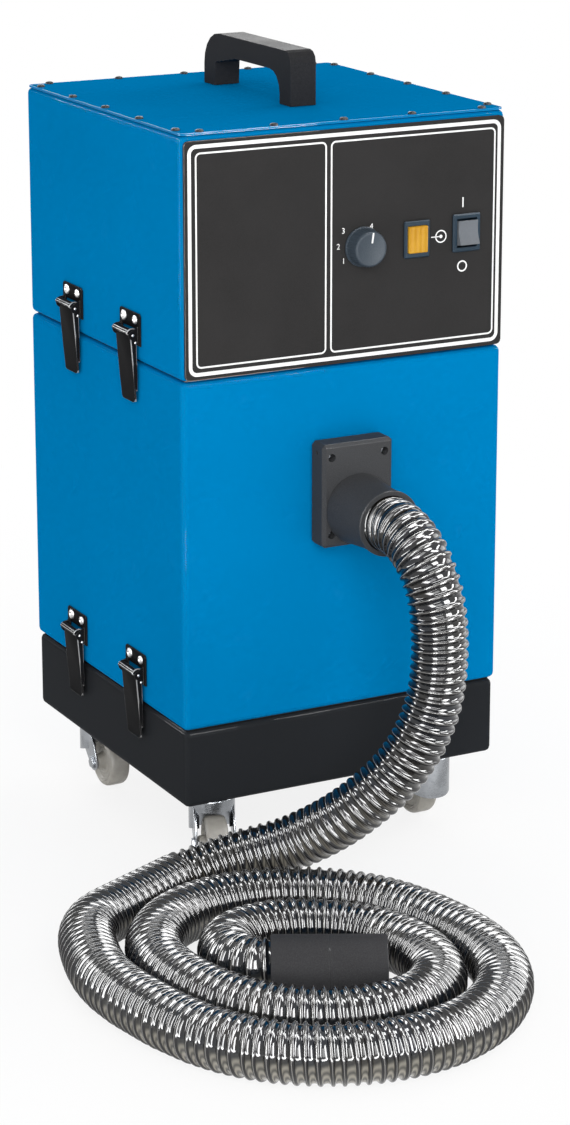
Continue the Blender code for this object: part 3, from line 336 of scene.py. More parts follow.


# Smoky hose: dark clear wall over a wound rib, its height stored on the mesh; a painted highlight line
# along each rib crest, and painted light from the floor on the wall low on each turn
hoseLook = {
    "rib": (0.008, 0.008, 0.009),
    "wall": (0.012, 0.011, 0.009),
    "tint": (0.005, 0.009, 0.015),
    # painted highlight along the top of each rib
    "line": (0.20, 0.195, 0.185),
    # painted light from the floor, on the wall that faces down near the floor
    "glow": (0.30, 0.28, 0.235),
    "ribRough": 0.10,
    "wallRough": 0.06,
}


def smokyHose(s):
    f = Finish("smokyHose", {"Specular IOR Level": 0.55})
    rib = f.stored("ribHeight")
    haze = f.clamp(f.noise(26.0, 3.0, 0.6), 0.38, 0.62)
    crest = f.clamp(rib, 0.10, 0.45)
    # A thin painted highlight line along the top of each rib
    line = f.clamp(rib, 0.94, 0.985)
    wall = f.blend(haze, s["tint"], s["wall"])
    # Painted light from the floor: wall facing down is lightened towards beige in bands, fully below 0.06 m
    # and fading out by 0.14 m
    under = f.dot(f.facing(), (0, 0, -1))
    bands = f.node("ShaderNodeMath", {"operation": "SINE"}, {0: under * 19.0})
    height = f.dot(f.place, (0, 0, 1))
    lit = f.clamp(under, -0.20, 0.20) * (1 - f.clamp(height, 0.06, 0.14))
    wall = f.blend(lit * (0.62 + 0.38 * bands), wall, s["glow"])
    rough = s["wallRough"] + (s["ribRough"] - s["wallRough"]) * crest
    shade = f.blend(line, f.blend(crest, wall, s["rib"]), s["line"])
    f.feed(colour=shade, roughness=rough + 0.04 * haze)
    return f.bump(f.noise(260.0, 2.0), 0.04, 0.0003).material


hosePlastic = smokyHose(hoseLook)
print("materials made")


# Mesh helpers
def settle(name, mesh, finish, body, angle=32):
    mesh.update()
    mesh.polygons.foreach_set("use_smooth", [True] * len(mesh.polygons))
    mesh.set_sharp_from_angle(angle=math.radians(angle))
    mesh.materials.clear()
    mesh.materials.append(finish)
    piece = bpy.data.objects.new(name, mesh)
    bpy.context.scene.collection.objects.link(piece)
    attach(piece, body)
    return piece


# A worked mesh as a new one of its own, its faces turned outwards
def baked(name, b, outward=True):
    if outward:
        bmesh.ops.recalc_face_normals(b, faces=b.faces)
    mesh = bpy.data.meshes.new(name)
    b.to_mesh(mesh)
    b.free()
    return mesh


def meshOf(name, points, faces):
    mesh = bpy.data.meshes.new(name)
    mesh.from_pydata([tuple(p) for p in points], [], faces)
    b = bmesh.new()
    b.from_mesh(mesh)
    bpy.data.meshes.remove(mesh)
    return baked(name, b)


def joined(name, meshes):
    b = bmesh.new()
    for mesh in meshes:
        b.from_mesh(mesh)
    return baked(name, b, outward=False)


# A mirrored copy is turned right side out again
def moved(mesh, matrix):
    copy = mesh.copy()
    copy.transform(matrix)
    if matrix.determinant() < 0:
        copy.flip_normals()
    return copy


def arc(centre, radius, start, end, steps):
    turn = [math.radians(start + (end - start) * i / steps) for i in range(steps + 1)]
    return [(centre[0] + radius * math.cos(a), centre[1] + radius * math.sin(a)) for a in turn]


def roundedRect(x0, y0, x1, y1, radius, steps=6):
    corners = ((x1, y1, 0), (x0, y1, 90), (x0, y0, 180), (x1, y0, 270))
    outline = []
    for x, y, start in corners:
        inX = math.copysign(radius, x - (x0 + x1) / 2)
        inY = math.copysign(radius, y - (y0 + y1) / 2)
        outline += arc((x - inX, y - inY), radius, start, start + 90, steps)
    return outline


# Neighbouring rings, and the last with the first where the section closes
def ringPairs(rings, closed):
    pairs = list(zip(rings, rings[1:]))
    if closed:
        pairs.append((rings[-1], rings[0]))
    return pairs


# A profile of (radius, height) turned about local Z; ends on the axis close by themselves
def lathe(name, profile, sides=64, closed=False):
    b = bmesh.new()
    rings = []
    for radius, height in profile:
        if radius < 1e-6:
            rings.append([b.verts.new((0, 0, height))])
            continue
        turns = [math.tau * i / sides for i in range(sides)]
        rings.append([b.verts.new((radius * math.cos(a), radius * math.sin(a), height)) for a in turns])
    for low, high in ringPairs(rings, closed):
        for i in range(sides):
            j = (i + 1) % sides
            quad = [low[i % len(low)], low[j % len(low)], high[j % len(high)], high[i % len(high)]]
            corners = list(dict.fromkeys(quad))
            if len(corners) > 2:
                b.faces.new(corners)
    return baked(name, b)


# An outline in local X and Y pushed up along local Z, its rims rounded
def slab(name, outline, low, high, bevel=0.0, segments=3):
    count = len(outline)
    points = [(x, y, low) for x, y in outline] + [(x, y, high) for x, y in outline]
    faces = [list(range(count))[::-1], list(range(count, 2 * count))]
    faces += [[i, (i + 1) % count, count + (i + 1) % count, count + i] for i in range(count)]
    mesh = meshOf(name, points, faces)
    if bevel:
        b = bmesh.new()
        b.from_mesh(mesh)
        rims = [e for e in b.edges if abs(e.verts[0].co.z - e.verts[1].co.z) < 1e-7]
        rounding = {"offset": bevel, "segments": segments, "profile": 0.5, "clamp_overlap": True}
        bmesh.ops.bevel(b, geom=rims, affect="EDGES", **rounding)
        b.to_mesh(mesh)
        b.free()
    return mesh


leastCorner = 0.0006


# A sheet's section of (inset, height) carried round a rounded rectangle
def rimmed(name, low, high, corner, section, steps=6):
    b = bmesh.new()
    rings = []
    for inset, height in section:
        x0, y0, x1, y1 = low[0] + inset, low[1] + inset, high[0] - inset, high[1] - inset
        outline = roundedRect(x0, y0, x1, y1, max(corner - inset, leastCorner), steps)
        rings.append([b.verts.new((x, y, height)) for x, y in outline])
    for first, second in ringPairs(rings, True):
        count = len(first)
        for i in range(count):
            j = (i + 1) % count
            b.faces.new((first[i], first[j], second[j], second[i]))
    return baked(name, b)


# A mesh with other closed meshes cut out of it
def cutAway(mesh, tools):
    holder = bpy.data.objects.new("holder", mesh)
    bpy.context.scene.collection.objects.link(holder)
    made = []
    for tool in tools:
        cutter = bpy.data.objects.new("cutter", tool)
        bpy.context.scene.collection.objects.link(cutter)
        made.append(cutter)
        modifier = holder.modifiers.new("cut", "BOOLEAN")
        modifier.object = cutter
        modifier.solver = "EXACT"
    graph = bpy.context.evaluated_depsgraph_get()
    result = bpy.data.meshes.new_from_object(holder.evaluated_get(graph))
    for helper in (holder, *made):
        bpy.data.objects.remove(helper)
    return result


# Local Z turned to point out of the front, the back or a side
outFront = Matrix.Rotation(math.radians(90), 4, "X")
outBack = Matrix.Rotation(math.radians(-90), 4, "X")
outLeft = Matrix.Rotation(math.radians(-90), 4, "Y")
outRight = Matrix.Rotation(math.radians(90), 4, "Y")


def at(x, y, z, turn=Matrix.Identity(4)):
    return Matrix.Translation((x, y, z)) @ turn


# Seats: the gap that fitted solids keep, and how far a drawn skin stays under its solid's
fitGap = 0.0003
skinInset = 0.0001


# Hose: its route repeats the solids' own
hoseSettings = {
    "radius": 0.025,
    "bore": 0.0205,
    "ribPitch": 0.0088,
    "ribDepth": 0.0019,
    "ribShare": 0.42,
    "ribPoints": 6,
    "wallSag": 0.0008,
    "wallPoints": 4,
    "sides": 36,
    "lieHeight": 0.0252,
    "socket": 0.048,
    "endStraight": 0.050,
    "endInset": 0.0006,
    "fadeLength": 0.030,
    "pointSpacing": 0.0011,
    "relaxRounds": 14,
    "boreSpacing": 0.009,
    "weld": 0.00002,
    "rimShare": 1.02,
    "pathStep": 8,
    "portHeight": 0.3357,
    "mouth": -0.2426,
    "drop": [
        (0.000, -0.266, 0.335),
        (0.002, -0.294, 0.320),
        (0.006, -0.311, 0.290),
        (0.008, -0.317, 0.246),
        (0.002, -0.316, 0.190),
        (-0.018, -0.306, 0.141),
        (-0.054, -0.280, 0.094),
        (-0.092, -0.2415, 0.0575),
        (-0.138, -0.2140, 0.0395),
    ],
    "joint": (-0.2295, -0.2220),
    "jointHeading": 205,
    "centre": (-0.1658, -0.4095),
    "loopRadius": 0.1626,
    "major": 0.0349,
    "minor": 0.004,
    "majorHeading": 101.24,
    "start": 140,
    "pitch": 0.0406,
    "rounding": 0.016,
    "drift": 0.002,
    "narrowing": 0.0146,
    "narrowingHeading": 34,
    "loopIn": 0.06,
    "loopOut": 1.66,
    "stepsPerLoop": 48,
    "curlRadius": 0.036,
    "curlHeading": -118,
    "curlLead": 40,
    "ease": 0.37,
    "steps": 12,
}
cuffSettings = {
    "mouth": (-0.2035, -0.4085, 0.0277),
    "heading": -27,
    "length": 0.096,
    "radius": 0.0275,
    "wall": 0.003,
    "stop": 0.003,
    "rim": 0.0012,
    "rimShare": 0.3,
    "seam": ((0, 0.0007), (0.0003, 0.0004), (0.0003, -0.0004), (0, -0.0007)),
    "sides": 72,
}


def headingWay(degrees):
    return Vector((math.cos(math.radians(degrees)), math.sin(math.radians(degrees)), 0))


def smoothRoute(points, steps):
    padded = [2 * points[0] - points[1], *points, 2 * points[-1] - points[-2]]
    curve = []
    for p0, p1, p2, p3 in zip(padded, padded[1:], padded[2:], padded[3:]):
        t1 = math.sqrt((p1 - p0).length)
        t2 = t1 + math.sqrt((p2 - p1).length)
        t3 = t2 + math.sqrt((p3 - p2).length)
        for step in range(steps):
            t = t1 + (t2 - t1) * step / steps
            a1 = p0.lerp(p1, t / t1)
            a2 = p1.lerp(p2, (t - t1) / (t2 - t1))
            a3 = p2.lerp(p3, (t - t2) / (t3 - t2))
            b1 = a1.lerp(a2, t / t2)
            b2 = a2.lerp(a3, (t - t1) / (t3 - t1))
            curve.append(b1.lerp(b2, (t - t1) / (t2 - t1)))
    return curve + [points[-1]]


def eased(start, startWay, end, endWay, s):
    reach = (end - start).length * s["ease"]
    first = start + startWay * reach
    second = end - endWay * reach
    curve = []
    for step in range(s["steps"] + 1):
        t = step / s["steps"]
        a, b, c = start.lerp(first, t), first.lerp(second, t), second.lerp(end, t)
        curve.append(a.lerp(b, t).lerp(b.lerp(c, t), t))
    return curve


def loopPoint(turn, s):
    way = headingWay(s["start"] + 360 * turn)
    along = headingWay(s["majorHeading"])
    beside = headingWay(s["majorHeading"] + 90)
    narrow = headingWay(s["narrowingHeading"])
    major = s["major"] - s["rounding"] * turn
    reachAlong = major * way.dot(along)
    reachBeside = s["minor"] * way.dot(beside)
    oval = along * major * reachAlong + beside * s["minor"] * reachBeside
    oval = oval / math.hypot(reachAlong, reachBeside)
    centre = Vector((s["centre"][0], s["centre"][1] + s["drift"] * turn, s["lieHeight"]))
    inward = s["narrowing"] * turn * narrow.dot(way)
    return centre + way * (s["loopRadius"] - s["pitch"] * turn) + oval - narrow * inward


def loopWay(turn, s):
    nudge = 1 / s["stepsPerLoop"] ** 2
    return (loopPoint(turn + nudge, s) - loopPoint(turn - nudge, s)).normalized()


def hoseRoute(s, cuff):
    joint = Vector((*s["joint"], s["lieHeight"]))
    jointWay = headingWay(s["jointHeading"])
    stop = Vector((0, s["mouth"] + s["socket"], s["portHeight"]))
    straight = Vector((0, s["mouth"], s["portHeight"]))
    landing = joint - jointWay * s["endStraight"]
    route = [stop] + smoothRoute([straight, *map(Vector, s["drop"]), landing], s["steps"])
    entry = joint + jointWay * s["endStraight"]
    route += [joint] + eased(entry, jointWay, loopPoint(s["loopIn"], s), loopWay(s["loopIn"], s), s)
    first = math.ceil(s["loopIn"] * s["stepsPerLoop"]) + 1
    last = math.floor(s["loopOut"] * s["stepsPerLoop"])
    route += [loopPoint(step / s["stepsPerLoop"], s) for step in range(first, last)]
    cuffMouth = Vector(cuff["mouth"])
    hub = cuffMouth + headingWay(cuff["heading"] + 90) * s["curlRadius"]
    begin = s["curlHeading"] - s["curlLead"]
    curl = []
    for step in range(s["steps"] + 1):
        angle = begin + (cuff["heading"] - begin) * step / s["steps"]
        curl.append(hub + headingWay(angle - 90) * s["curlRadius"])
    out = loopPoint(s["loopOut"], s)
    route += eased(out, loopWay(s["loopOut"], s), curl[0], headingWay(begin), s)
    return route + curl[1:] + [cuffMouth + headingWay(cuff["heading"]) * s["socket"]]


def evenPoints(route, spacing):
    lengths = [0]
    for first, second in zip(route, route[1:]):
        lengths.append(lengths[-1] + (second - first).length)
    count = round(lengths[-1] / spacing)
    points, index = [], 0
    for step in range(count + 1):
        along = lengths[-1] * step / count
        while index < len(route) - 2 and lengths[index + 1] < along:
            index += 1
        share = (along - lengths[index]) / (lengths[index + 1] - lengths[index])
        points.append(route[index].lerp(route[index + 1], share))
    return points, lengths[-1]


# Rounds off the corners that a polyline leaves, ends kept
def relaxed(points, rounds):
    for _ in range(rounds):
        inner = [(a + 2 * b + c) / 4 for a, b, c in zip(points, points[1:], points[2:])]
        points = [points[0], *inner, points[-1]]
    return points


def ribRadius(share, s):
    crest = s["radius"] - skinInset
    if share < s["ribShare"]:
        swell = math.sqrt(1 - (2 * share / s["ribShare"] - 1) ** 2)
        return crest - s["ribDepth"] * (1 - swell), swell
    sag = math.sin(math.pi * (share - s["ribShare"]) / (1 - s["ribShare"]))
    return crest - s["ribDepth"] - s["wallSag"] * sag, 0.0


# A point, a side and an up for each step of the route, twisted as little as its bends allow
def routeFrames(points):
    frames = []
    last = len(points) - 1
    side = (points[1] - points[0]).orthogonal().normalized()
    for i, point in enumerate(points):
        way = (points[min(i + 1, last)] - points[max(i - 1, 0)]).normalized()
        side = (side - way * side.dot(way)).normalized()
        frames.append((point, side.copy(), way.cross(side)))
    return frames


def skinPoint(frames, along, turn, radius):
    reach = min(max(along, 0), 1) * (len(frames) - 1)
    i = min(int(reach), len(frames) - 2)
    share = reach - i
    (p0, s0, u0), (p1, s1, u1) = frames[i], frames[i + 1]
    outward = s0.lerp(s1, share) * math.cos(turn) + u0.lerp(u1, share) * math.sin(turn)
    return p0.lerp(p1, share) + outward.normalized() * radius


# One strip wound round the route, a rib and a wall wide, each turn meeting the one before
def windStrip(b, frames, length, s):
    sides, pitch, ribShare = s["sides"], s["ribPitch"], s["ribShare"]
    turns = [math.pi * i / s["ribPoints"] for i in range(s["ribPoints"])]
    section = [ribShare * (1 - math.cos(a)) / 2 for a in turns]
    section += [ribShare + (1 - ribShare) * i / s["wallPoints"] for i in range(s["wallPoints"])]
    height = b.verts.layers.float.new("ribHeight")
    columns = []
    for k in range(-sides, math.ceil(length / pitch + 2) * sides):
        column = []
        for share in section:
            along = min(max(pitch * (k / sides + share), 0), length)
            radius, swell = ribRadius(share, s)
            fade = min(1, min(along, length - along) / s["fadeLength"])
            radius = s["radius"] - s["endInset"] + (radius - s["radius"] + s["endInset"]) * fade
            vertex = b.verts.new(skinPoint(frames, along / length, math.tau * k / sides, radius))
            vertex[height] = swell
            column.append(vertex)
        columns.append(column)
    for k in range(len(columns) - 1):
        left, right = columns[k], columns[k + 1]
        if k + 1 + sides < len(columns):
            left, right = left + [columns[k + sides][0]], right + [columns[k + 1 + sides][0]]
        for c in range(len(left) - 1):
            b.faces.new((left[c], right[c], right[c + 1], left[c + 1]))
    bmesh.ops.remove_doubles(b, verts=b.verts, dist=s["weld"])
    bmesh.ops.dissolve_degenerate(b, edges=b.edges, dist=s["weld"])


# The bore as plain rings, left open at both ends for the bridges to the skin
def addBore(b, frames, length, s):
    rings = round(length / s["boreSpacing"])
    turns = [math.tau * k / s["sides"] for k in range(s["sides"])]
    bore = []
    for ring in range(rings + 1):
        bore.append([b.verts.new(skinPoint(frames, ring / rings, turn, s["bore"])) for turn in turns])
    for before, after in zip(bore, bore[1:]):
        for k in range(s["sides"]):
            j = (k + 1) % s["sides"]
            b.faces.new((before[j], before[k], after[k], after[j]))


def ribbedHose(s, cuff):
    points, length = evenPoints(hoseRoute(s, cuff), s["pointSpacing"])
    points = relaxed(points, s["relaxRounds"])
    frames = routeFrames(points)
    b = bmesh.new()
    windStrip(b, frames, length, s)
    addBore(b, frames, length, s)
    reach = s["radius"] * s["rimShare"]
    for end in (points[0], points[-1]):
        rim = [e for e in b.edges if e.is_boundary and (e.verts[0].co - end).length < reach]
        bmesh.ops.bridge_loops(b, edges=rim)
    return settle("ribbedHose", baked("ribbedHose", b), hosePlastic, "cabinet", 70), points, length


hose, hosePath, hoseLength = ribbedHose(hoseSettings, cuffSettings)
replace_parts(hose, "hose_drop", "hose_coil")
print(f"hose made, {hoseLength:.3f} m")


# End cuff: soft rubber, rounded rims, a moulding seam half way
def endCuff(s):
    r, inner, rim, length = s["radius"] - skinInset, s["radius"] - s["wall"], s["rim"], s["length"]
    socket, bore, depth = hoseSettings["radius"] + fitGap, hoseSettings["bore"], hoseSettings["socket"]
    soft = rim * s["rimShare"]
    profile = [(inner, length - rim / 2), (inner + rim / 2, length)]
    profile += [(r - rim, length), (r - soft, length - soft), (r, length - rim)]
    profile += [(r - inset, length / 2 + rise) for inset, rise in s["seam"]]
    profile += [(r, rim), (r - soft, soft), (r - rim, 0), (socket, 0)]
    profile += [(socket, depth), (bore, depth), (bore, depth + s["stop"]), (inner, depth + s["stop"])]
    mesh = lathe("endCuff", profile, s["sides"], closed=True)
    turn = Matrix.Rotation(math.radians(s["heading"]), 4, "Z") @ Matrix.Rotation(math.radians(90), 4, "Y")
    mesh.transform(Matrix.Translation(s["mouth"]) @ turn)
    return settle("endCuff", mesh, cuffRubber, "cabinet")


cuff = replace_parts(endCuff(cuffSettings), "hose_end_cuff")

# Collar: tapered from the block to a rounded lip that holds the hose
collarSettings = {
    "lip": 0.0295,
    "lipPoints": ((0.0006, 0), (0, 0.0005), (0, 0.0035), (0.0008, 0.0042)),
    "waistInset": 0.0004,
    "waistShare": 0.55,
    "rootPoints": ((0.0008, 0.010), (0, 0.004), (0, 0)),
    "spigot": 0.020,
    "spigotWall": 0.006,
    "sides": 72,
}


def hoseCollar(s):
    low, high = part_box("hose_collar")
    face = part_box("inlet_block")[0].y - fitGap
    length = face - low.y
    socket, depth = hoseSettings["radius"] + fitGap, length - hoseSettings["socket"]
    root, back = (high.x - low.x) / 2, face - high.y
    profile = [(socket, length)]
    profile += [(s["lip"] - inset, length - drop) for inset, drop in s["lipPoints"]]
    profile += [(s["lip"] - s["waistInset"], length * s["waistShare"])]
    profile += [(root - inset, rise) for inset, rise in s["rootPoints"]]
    profile += [(s["spigot"] + s["spigotWall"], 0), (s["spigot"] + s["spigotWall"], back)]
    profile += [(s["spigot"], back), (s["spigot"], depth), (socket, depth)]
    mesh = lathe("hoseCollar", profile, s["sides"], closed=True)
    mesh.transform(at(0, face, hoseSettings["portHeight"], outFront))
    return settle("hoseCollar", mesh, blockPlastic, "cabinet")


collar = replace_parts(hoseCollar(collarSettings), "hose_collar")
[tuple(p) for p in hosePath[::hoseSettings["pathStep"]]] + [tuple(hosePath[-1])]
print("hose fittings made")


# Finishes for the solids that keep their own shape
def dress(names, finish):
    for name in names:
        mesh = nodes[name].data
        mesh.materials.clear()
        mesh.materials.append(finish)
        mesh.polygons.foreach_set("material_index", [0] * len(mesh.polygons))


corners = [f"{end}_{hand}" for end in ("front", "back") for hand in ("left", "right")]
latches = [f"{seam}_latch_{hand}_{end}" for seam in ("upper", "lower") for hand in ("left", "right")
           for end in ("front", "back")]
dress(["filter_housing", "head_shell", "top_cover"], blueCoat)
dress(["base_tray"], blackCoat)
dress(["control_panel"], fasciaFilm)
dress(["inlet_block"], blockPlastic)
dress(["carry_handle"], handlePlastic)
dress(["lamp_bezel", "switch_frame"], bezelPlastic)
dress(["lamp_lens"], amberLens)
dress(["switch_rocker"], rockerPlastic)
dress(["exhaust_grille", "cord_gland"], glandPlastic)
dress(["upper_seal", "lower_seal"], sealFoam)
dress(["spark_baffle", "motor_deck"], galvanised)
dress(["blower_motor"], castMotor)
dress(["filter_cartridge"], filterPaper)
dress([f"{corner}_caster_plate" for corner in corners], zincPlate)
dress([f"{latch}_link" for latch in latches], blackSteel)
print("solids dressed")


# Front panel: printed lines, dial numbers and switch marks, a hair proud of the film.
# Places are from the panel's middle line and the floor, or from the knob's or the switch's middle
knobPlace = (0.0146, 0.5657)
switchPlace = (0.1191, 0.5690)
printSettings = {
    "proud": 0.00012,
    "inset": 0.0033,
    "frameLine": 0.0033,
    "frameCorner": 0.0080,
    "fieldInset": 0.0101,
    "fieldLine": 0.0015,
    "fieldCorner": 0.0050,
    "cornerSteps": 8,
    "leftField": (-0.1474, -0.0208),
    "rightField": (-0.0169, 0.1490),
    "digitSize": 0.0072,
    "digits": {
        "1": (-0.0185, -0.0116),
        "2": (-0.0238, 0.0015),
        "3": (-0.0189, 0.0151),
        "4": (0.0091, 0.0168),
    },
    "markLine": 0.0013,
    "barHalf": 0.0045,
    "barPlace": (-0.0028, 0.0270),
    "ringRadius": 0.0051,
    "ringPlace": (-0.0028, -0.0304),
    "symbolPlace": (0.0941, 0.5673),
    "symbolRadius": 0.0058,
    "symbolLineShare": 0.85,
    "dotRadius": 0.0016,
    "lead": (-0.0100, -0.0012),
}


def ringMark(radius, line, sides=48):
    inner = radius - line
    return lathe("ringMark", [(inner, 0), (inner, 1), (radius, 1), (radius, 0)], sides, closed=True)


def digitMesh(text, size):
    curve = bpy.data.curves.new("digit", "FONT")
    curve.body = text
    curve.size = size
    curve.align_x = "CENTER"
    curve.align_y = "CENTER"
    curve.extrude = 0.5
    holder = bpy.data.objects.new("digit", curve)
    bpy.context.scene.collection.objects.link(holder)
    graph = bpy.context.evaluated_depsgraph_get()
    mesh = bpy.data.meshes.new_from_object(holder.evaluated_get(graph))
    bpy.data.objects.remove(holder)
    mesh.transform(Matrix.Translation((0, 0, curve.extrude)))
    b = bmesh.new()
    b.from_mesh(mesh)
    bmesh.ops.remove_doubles(b, verts=b.verts, dist=1e-5)
    return baked("digit", b)


# Marks are drawn one unit thick and pressed flat together
def panelPrint(s):
    low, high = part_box("control_panel")
    marks = []

    def frameRing(x0, x1, inset, line, corner):
        z0, z1 = low.z + inset, high.z - inset
        section = [(0, 0), (0, 1), (line, 1), (line, 0)]
        marks.append((rimmed("frameRing", (x0, z0), (x1, z1), corner, section, s["cornerSteps"]), 0, 0))

    def fromPlace(place, shift):
        return place[0] + shift[0], place[1] + shift[1]

    frameRing(low.x + s["inset"], high.x - s["inset"], s["inset"], s["frameLine"], s["frameCorner"])
    for x0, x1 in (s["leftField"], s["rightField"]):
        frameRing(x0, x1, s["fieldInset"], s["fieldLine"], s["fieldCorner"])
    for text, shift in s["digits"].items():
        marks.append((digitMesh(text, s["digitSize"]), *fromPlace(knobPlace, shift)))
    line, half, dot = s["markLine"], s["barHalf"], s["dotRadius"]
    bar = slab("bar", roundedRect(-line / 2, -half, line / 2, half, line * 0.3), 0, 1)
    marks.append((bar, *fromPlace(switchPlace, s["barPlace"])))
    marks.append((ringMark(s["ringRadius"], line), *fromPlace(switchPlace, s["ringPlace"])))
    marks.append((ringMark(s["symbolRadius"], line * s["symbolLineShare"]), *s["symbolPlace"]))
    marks.append((lathe("dot", [(0, 0), (dot, 0), (dot, 1), (0, 1)], 24), *s["symbolPlace"]))
    lead = roundedRect(s["lead"][0], -line * 0.35, s["lead"][1], line * 0.35, line * 0.2)
    marks.append((slab("lead", lead, 0, 1), *s["symbolPlace"]))
    flat = Matrix.Diagonal((1, 1, s["proud"], 1))
    placed = [moved(mesh, at(x, low.y, z, outFront) @ flat) for mesh, x, z in marks]
    return settle("panelPrint", joined("panelPrint", placed), printWhite, "cabinet")


panelPrint(printSettings)


# Knob: fluted skirt, dished face, white pointer that turns with it.
# Skirt points are (inset, height from the panel), face points (inset, drop from the face)
knobSettings = {
    "back": 0.0006,
    "skirt": 0.0178,
    "skirtPoints": ((0.0004, 0.0006), (0, 0.0010), (0, 0.0026), (0.0008, 0.0036)),
    "face": 0.0158,
    "facePoints": ((-0.0006, 0.0035), (0, 0.0014), (0.0005, 0.0006), (0.0013, 0.0001), (0.0020, 0),
                   (0.0035, 0.0003)),
    "dish": 0.0002,
    "flutes": 40,
    "fluteDepth": 0.0003,
    "fluteLow": 0.0035,
    "fluteDrop": 0.0008,
    "pointer": 82,
    "pointerWidth": 0.0015,
    "pointerStart": 0.0055,
    "pointerInset": 0.0012,
    "pointerSink": 0.0004,
    "pointerProud": 0.00015,
}


def flute(mesh, depth, s):
    for vertex in mesh.vertices:
        radius = math.hypot(vertex.co.x, vertex.co.y)
        if radius > s["face"] - s["fluteDepth"] and s["fluteLow"] < vertex.co.z < depth - s["fluteDrop"]:
            turn = math.atan2(vertex.co.y, vertex.co.x)
            cut = s["fluteDepth"] * (0.5 - 0.5 * math.cos(turn * s["flutes"]))
            vertex.co.x -= cut * math.cos(turn)
            vertex.co.y -= cut * math.sin(turn)


def knob(s):
    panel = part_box("control_panel")[0].y
    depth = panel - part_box("airflow_knob")[0].y
    profile = [(0, s["back"])] + [(s["skirt"] - inset, rise) for inset, rise in s["skirtPoints"]]
    profile += [(s["face"] - inset, depth - drop) for inset, drop in s["facePoints"]]
    profile += [(0, depth - s["dish"])]
    mesh = lathe("knobBody", profile, s["flutes"] * 6)
    flute(mesh, depth, s)
    place = at(knobPlace[0], panel, knobPlace[1], outFront)
    mesh.transform(place)
    body = settle("knobBody", mesh, knobPlastic, "airflow_knob", 40)
    half = s["pointerWidth"] / 2
    outline = roundedRect(s["pointerStart"], -half, s["face"] - s["pointerInset"], half, s["pointerSink"])
    mark = slab("knobPointer", outline, depth - s["pointerSink"], depth + s["pointerProud"])
    mark.transform(place @ Matrix.Rotation(math.radians(s["pointer"]), 4, "Z"))
    pointer = settle("knobPointer", mark, printWhite, "airflow_knob")
    return body


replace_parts(knob(knobSettings), "airflow_knob")
print("front panel made")


# Fasteners: black pan heads with a cross recess, bright rivets with a hollow middle.
# Their profiles are shares of the radius and the height
def screwMesh(radius, height, recess):
    dome = [(0, 0), (radius, 0), (radius, height * 0.35), (radius * 0.94, height * 0.62)]
    dome += [(radius * 0.78, height * 0.86), (radius * 0.50, height * 0.98), (0, height)]
    head = lathe("screwHead", dome, 28)
    outline = roundedRect(-recess, -recess * 0.24, recess, recess * 0.24, recess * 0.1, 2)
    arms = []
    for turn in (0, 90):
        arm = slab("arm", outline, height * 0.45, height * 1.5)
        arm.transform(Matrix.Rotation(math.radians(turn), 4, "Z"))
        arms.append(arm)
    return cutAway(head, arms)


def rivetMesh(radius, height, hollow):
    profile = [(0, height * 0.25), (hollow * 0.8, height * 0.25), (hollow, height * 0.55)]
    profile += [(hollow * 1.25, height), (radius * 0.72, height * 0.96), (radius * 0.93, height * 0.62)]
    profile += [(radius, height * 0.15), (radius, -height * 0.2), (0, -height * 0.2)]
    return lathe("rivet", profile, 36)


screwSettings = {
    "radius": 0.0037,
    "height": 0.0021,
    "recess": 0.0019,
    "frontRows": (-0.139, -0.068, 0.0, 0.068, 0.139),
    "sideRows": (-0.142, -0.070, 0.0, 0.070, 0.142),
    "rowY": 0.157,
    "rowX": 0.154,
}


def coverScrews(s):
    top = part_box("top_cover")[1].z
    head = screwMesh(s["radius"], s["height"], s["recess"])
    places = [(x, side * s["rowY"]) for x in s["frontRows"] for side in (-1, 1)]
    places += [(side * s["rowX"], y) for y in s["sideRows"] for side in (-1, 1)]
    heads = []
    for i, (x, y) in enumerate(places):
        turn = Matrix.Rotation(math.radians(37 * i % 90), 4, "Z")
        heads.append(moved(head, at(x, y, top, turn)))
    return settle("coverScrews", joined("coverScrews", heads), screwBlack, "cabinet")


coverScrews(screwSettings)


portScrewSettings = {
    "radius": 0.0034,
    "height": 0.0028,
    "recess": 0.0019,
    "across": 0.0264,
    "up": 0.0352,
    "sink": 0.0088,
}


def portScrews(s):
    low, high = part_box("inlet_block")
    middle = (low.z + high.z) / 2
    head = screwMesh(s["radius"], s["height"], s["recess"])
    heads = []
    for x in (-s["across"], s["across"]):
        for level in (-s["up"], s["up"]):
            heads.append(moved(head, at(x, low.y + s["sink"], middle + level, outFront)))
    return settle("portScrews", joined("portScrews", heads), zincPlate, "cabinet")


portScrews(portScrewSettings)


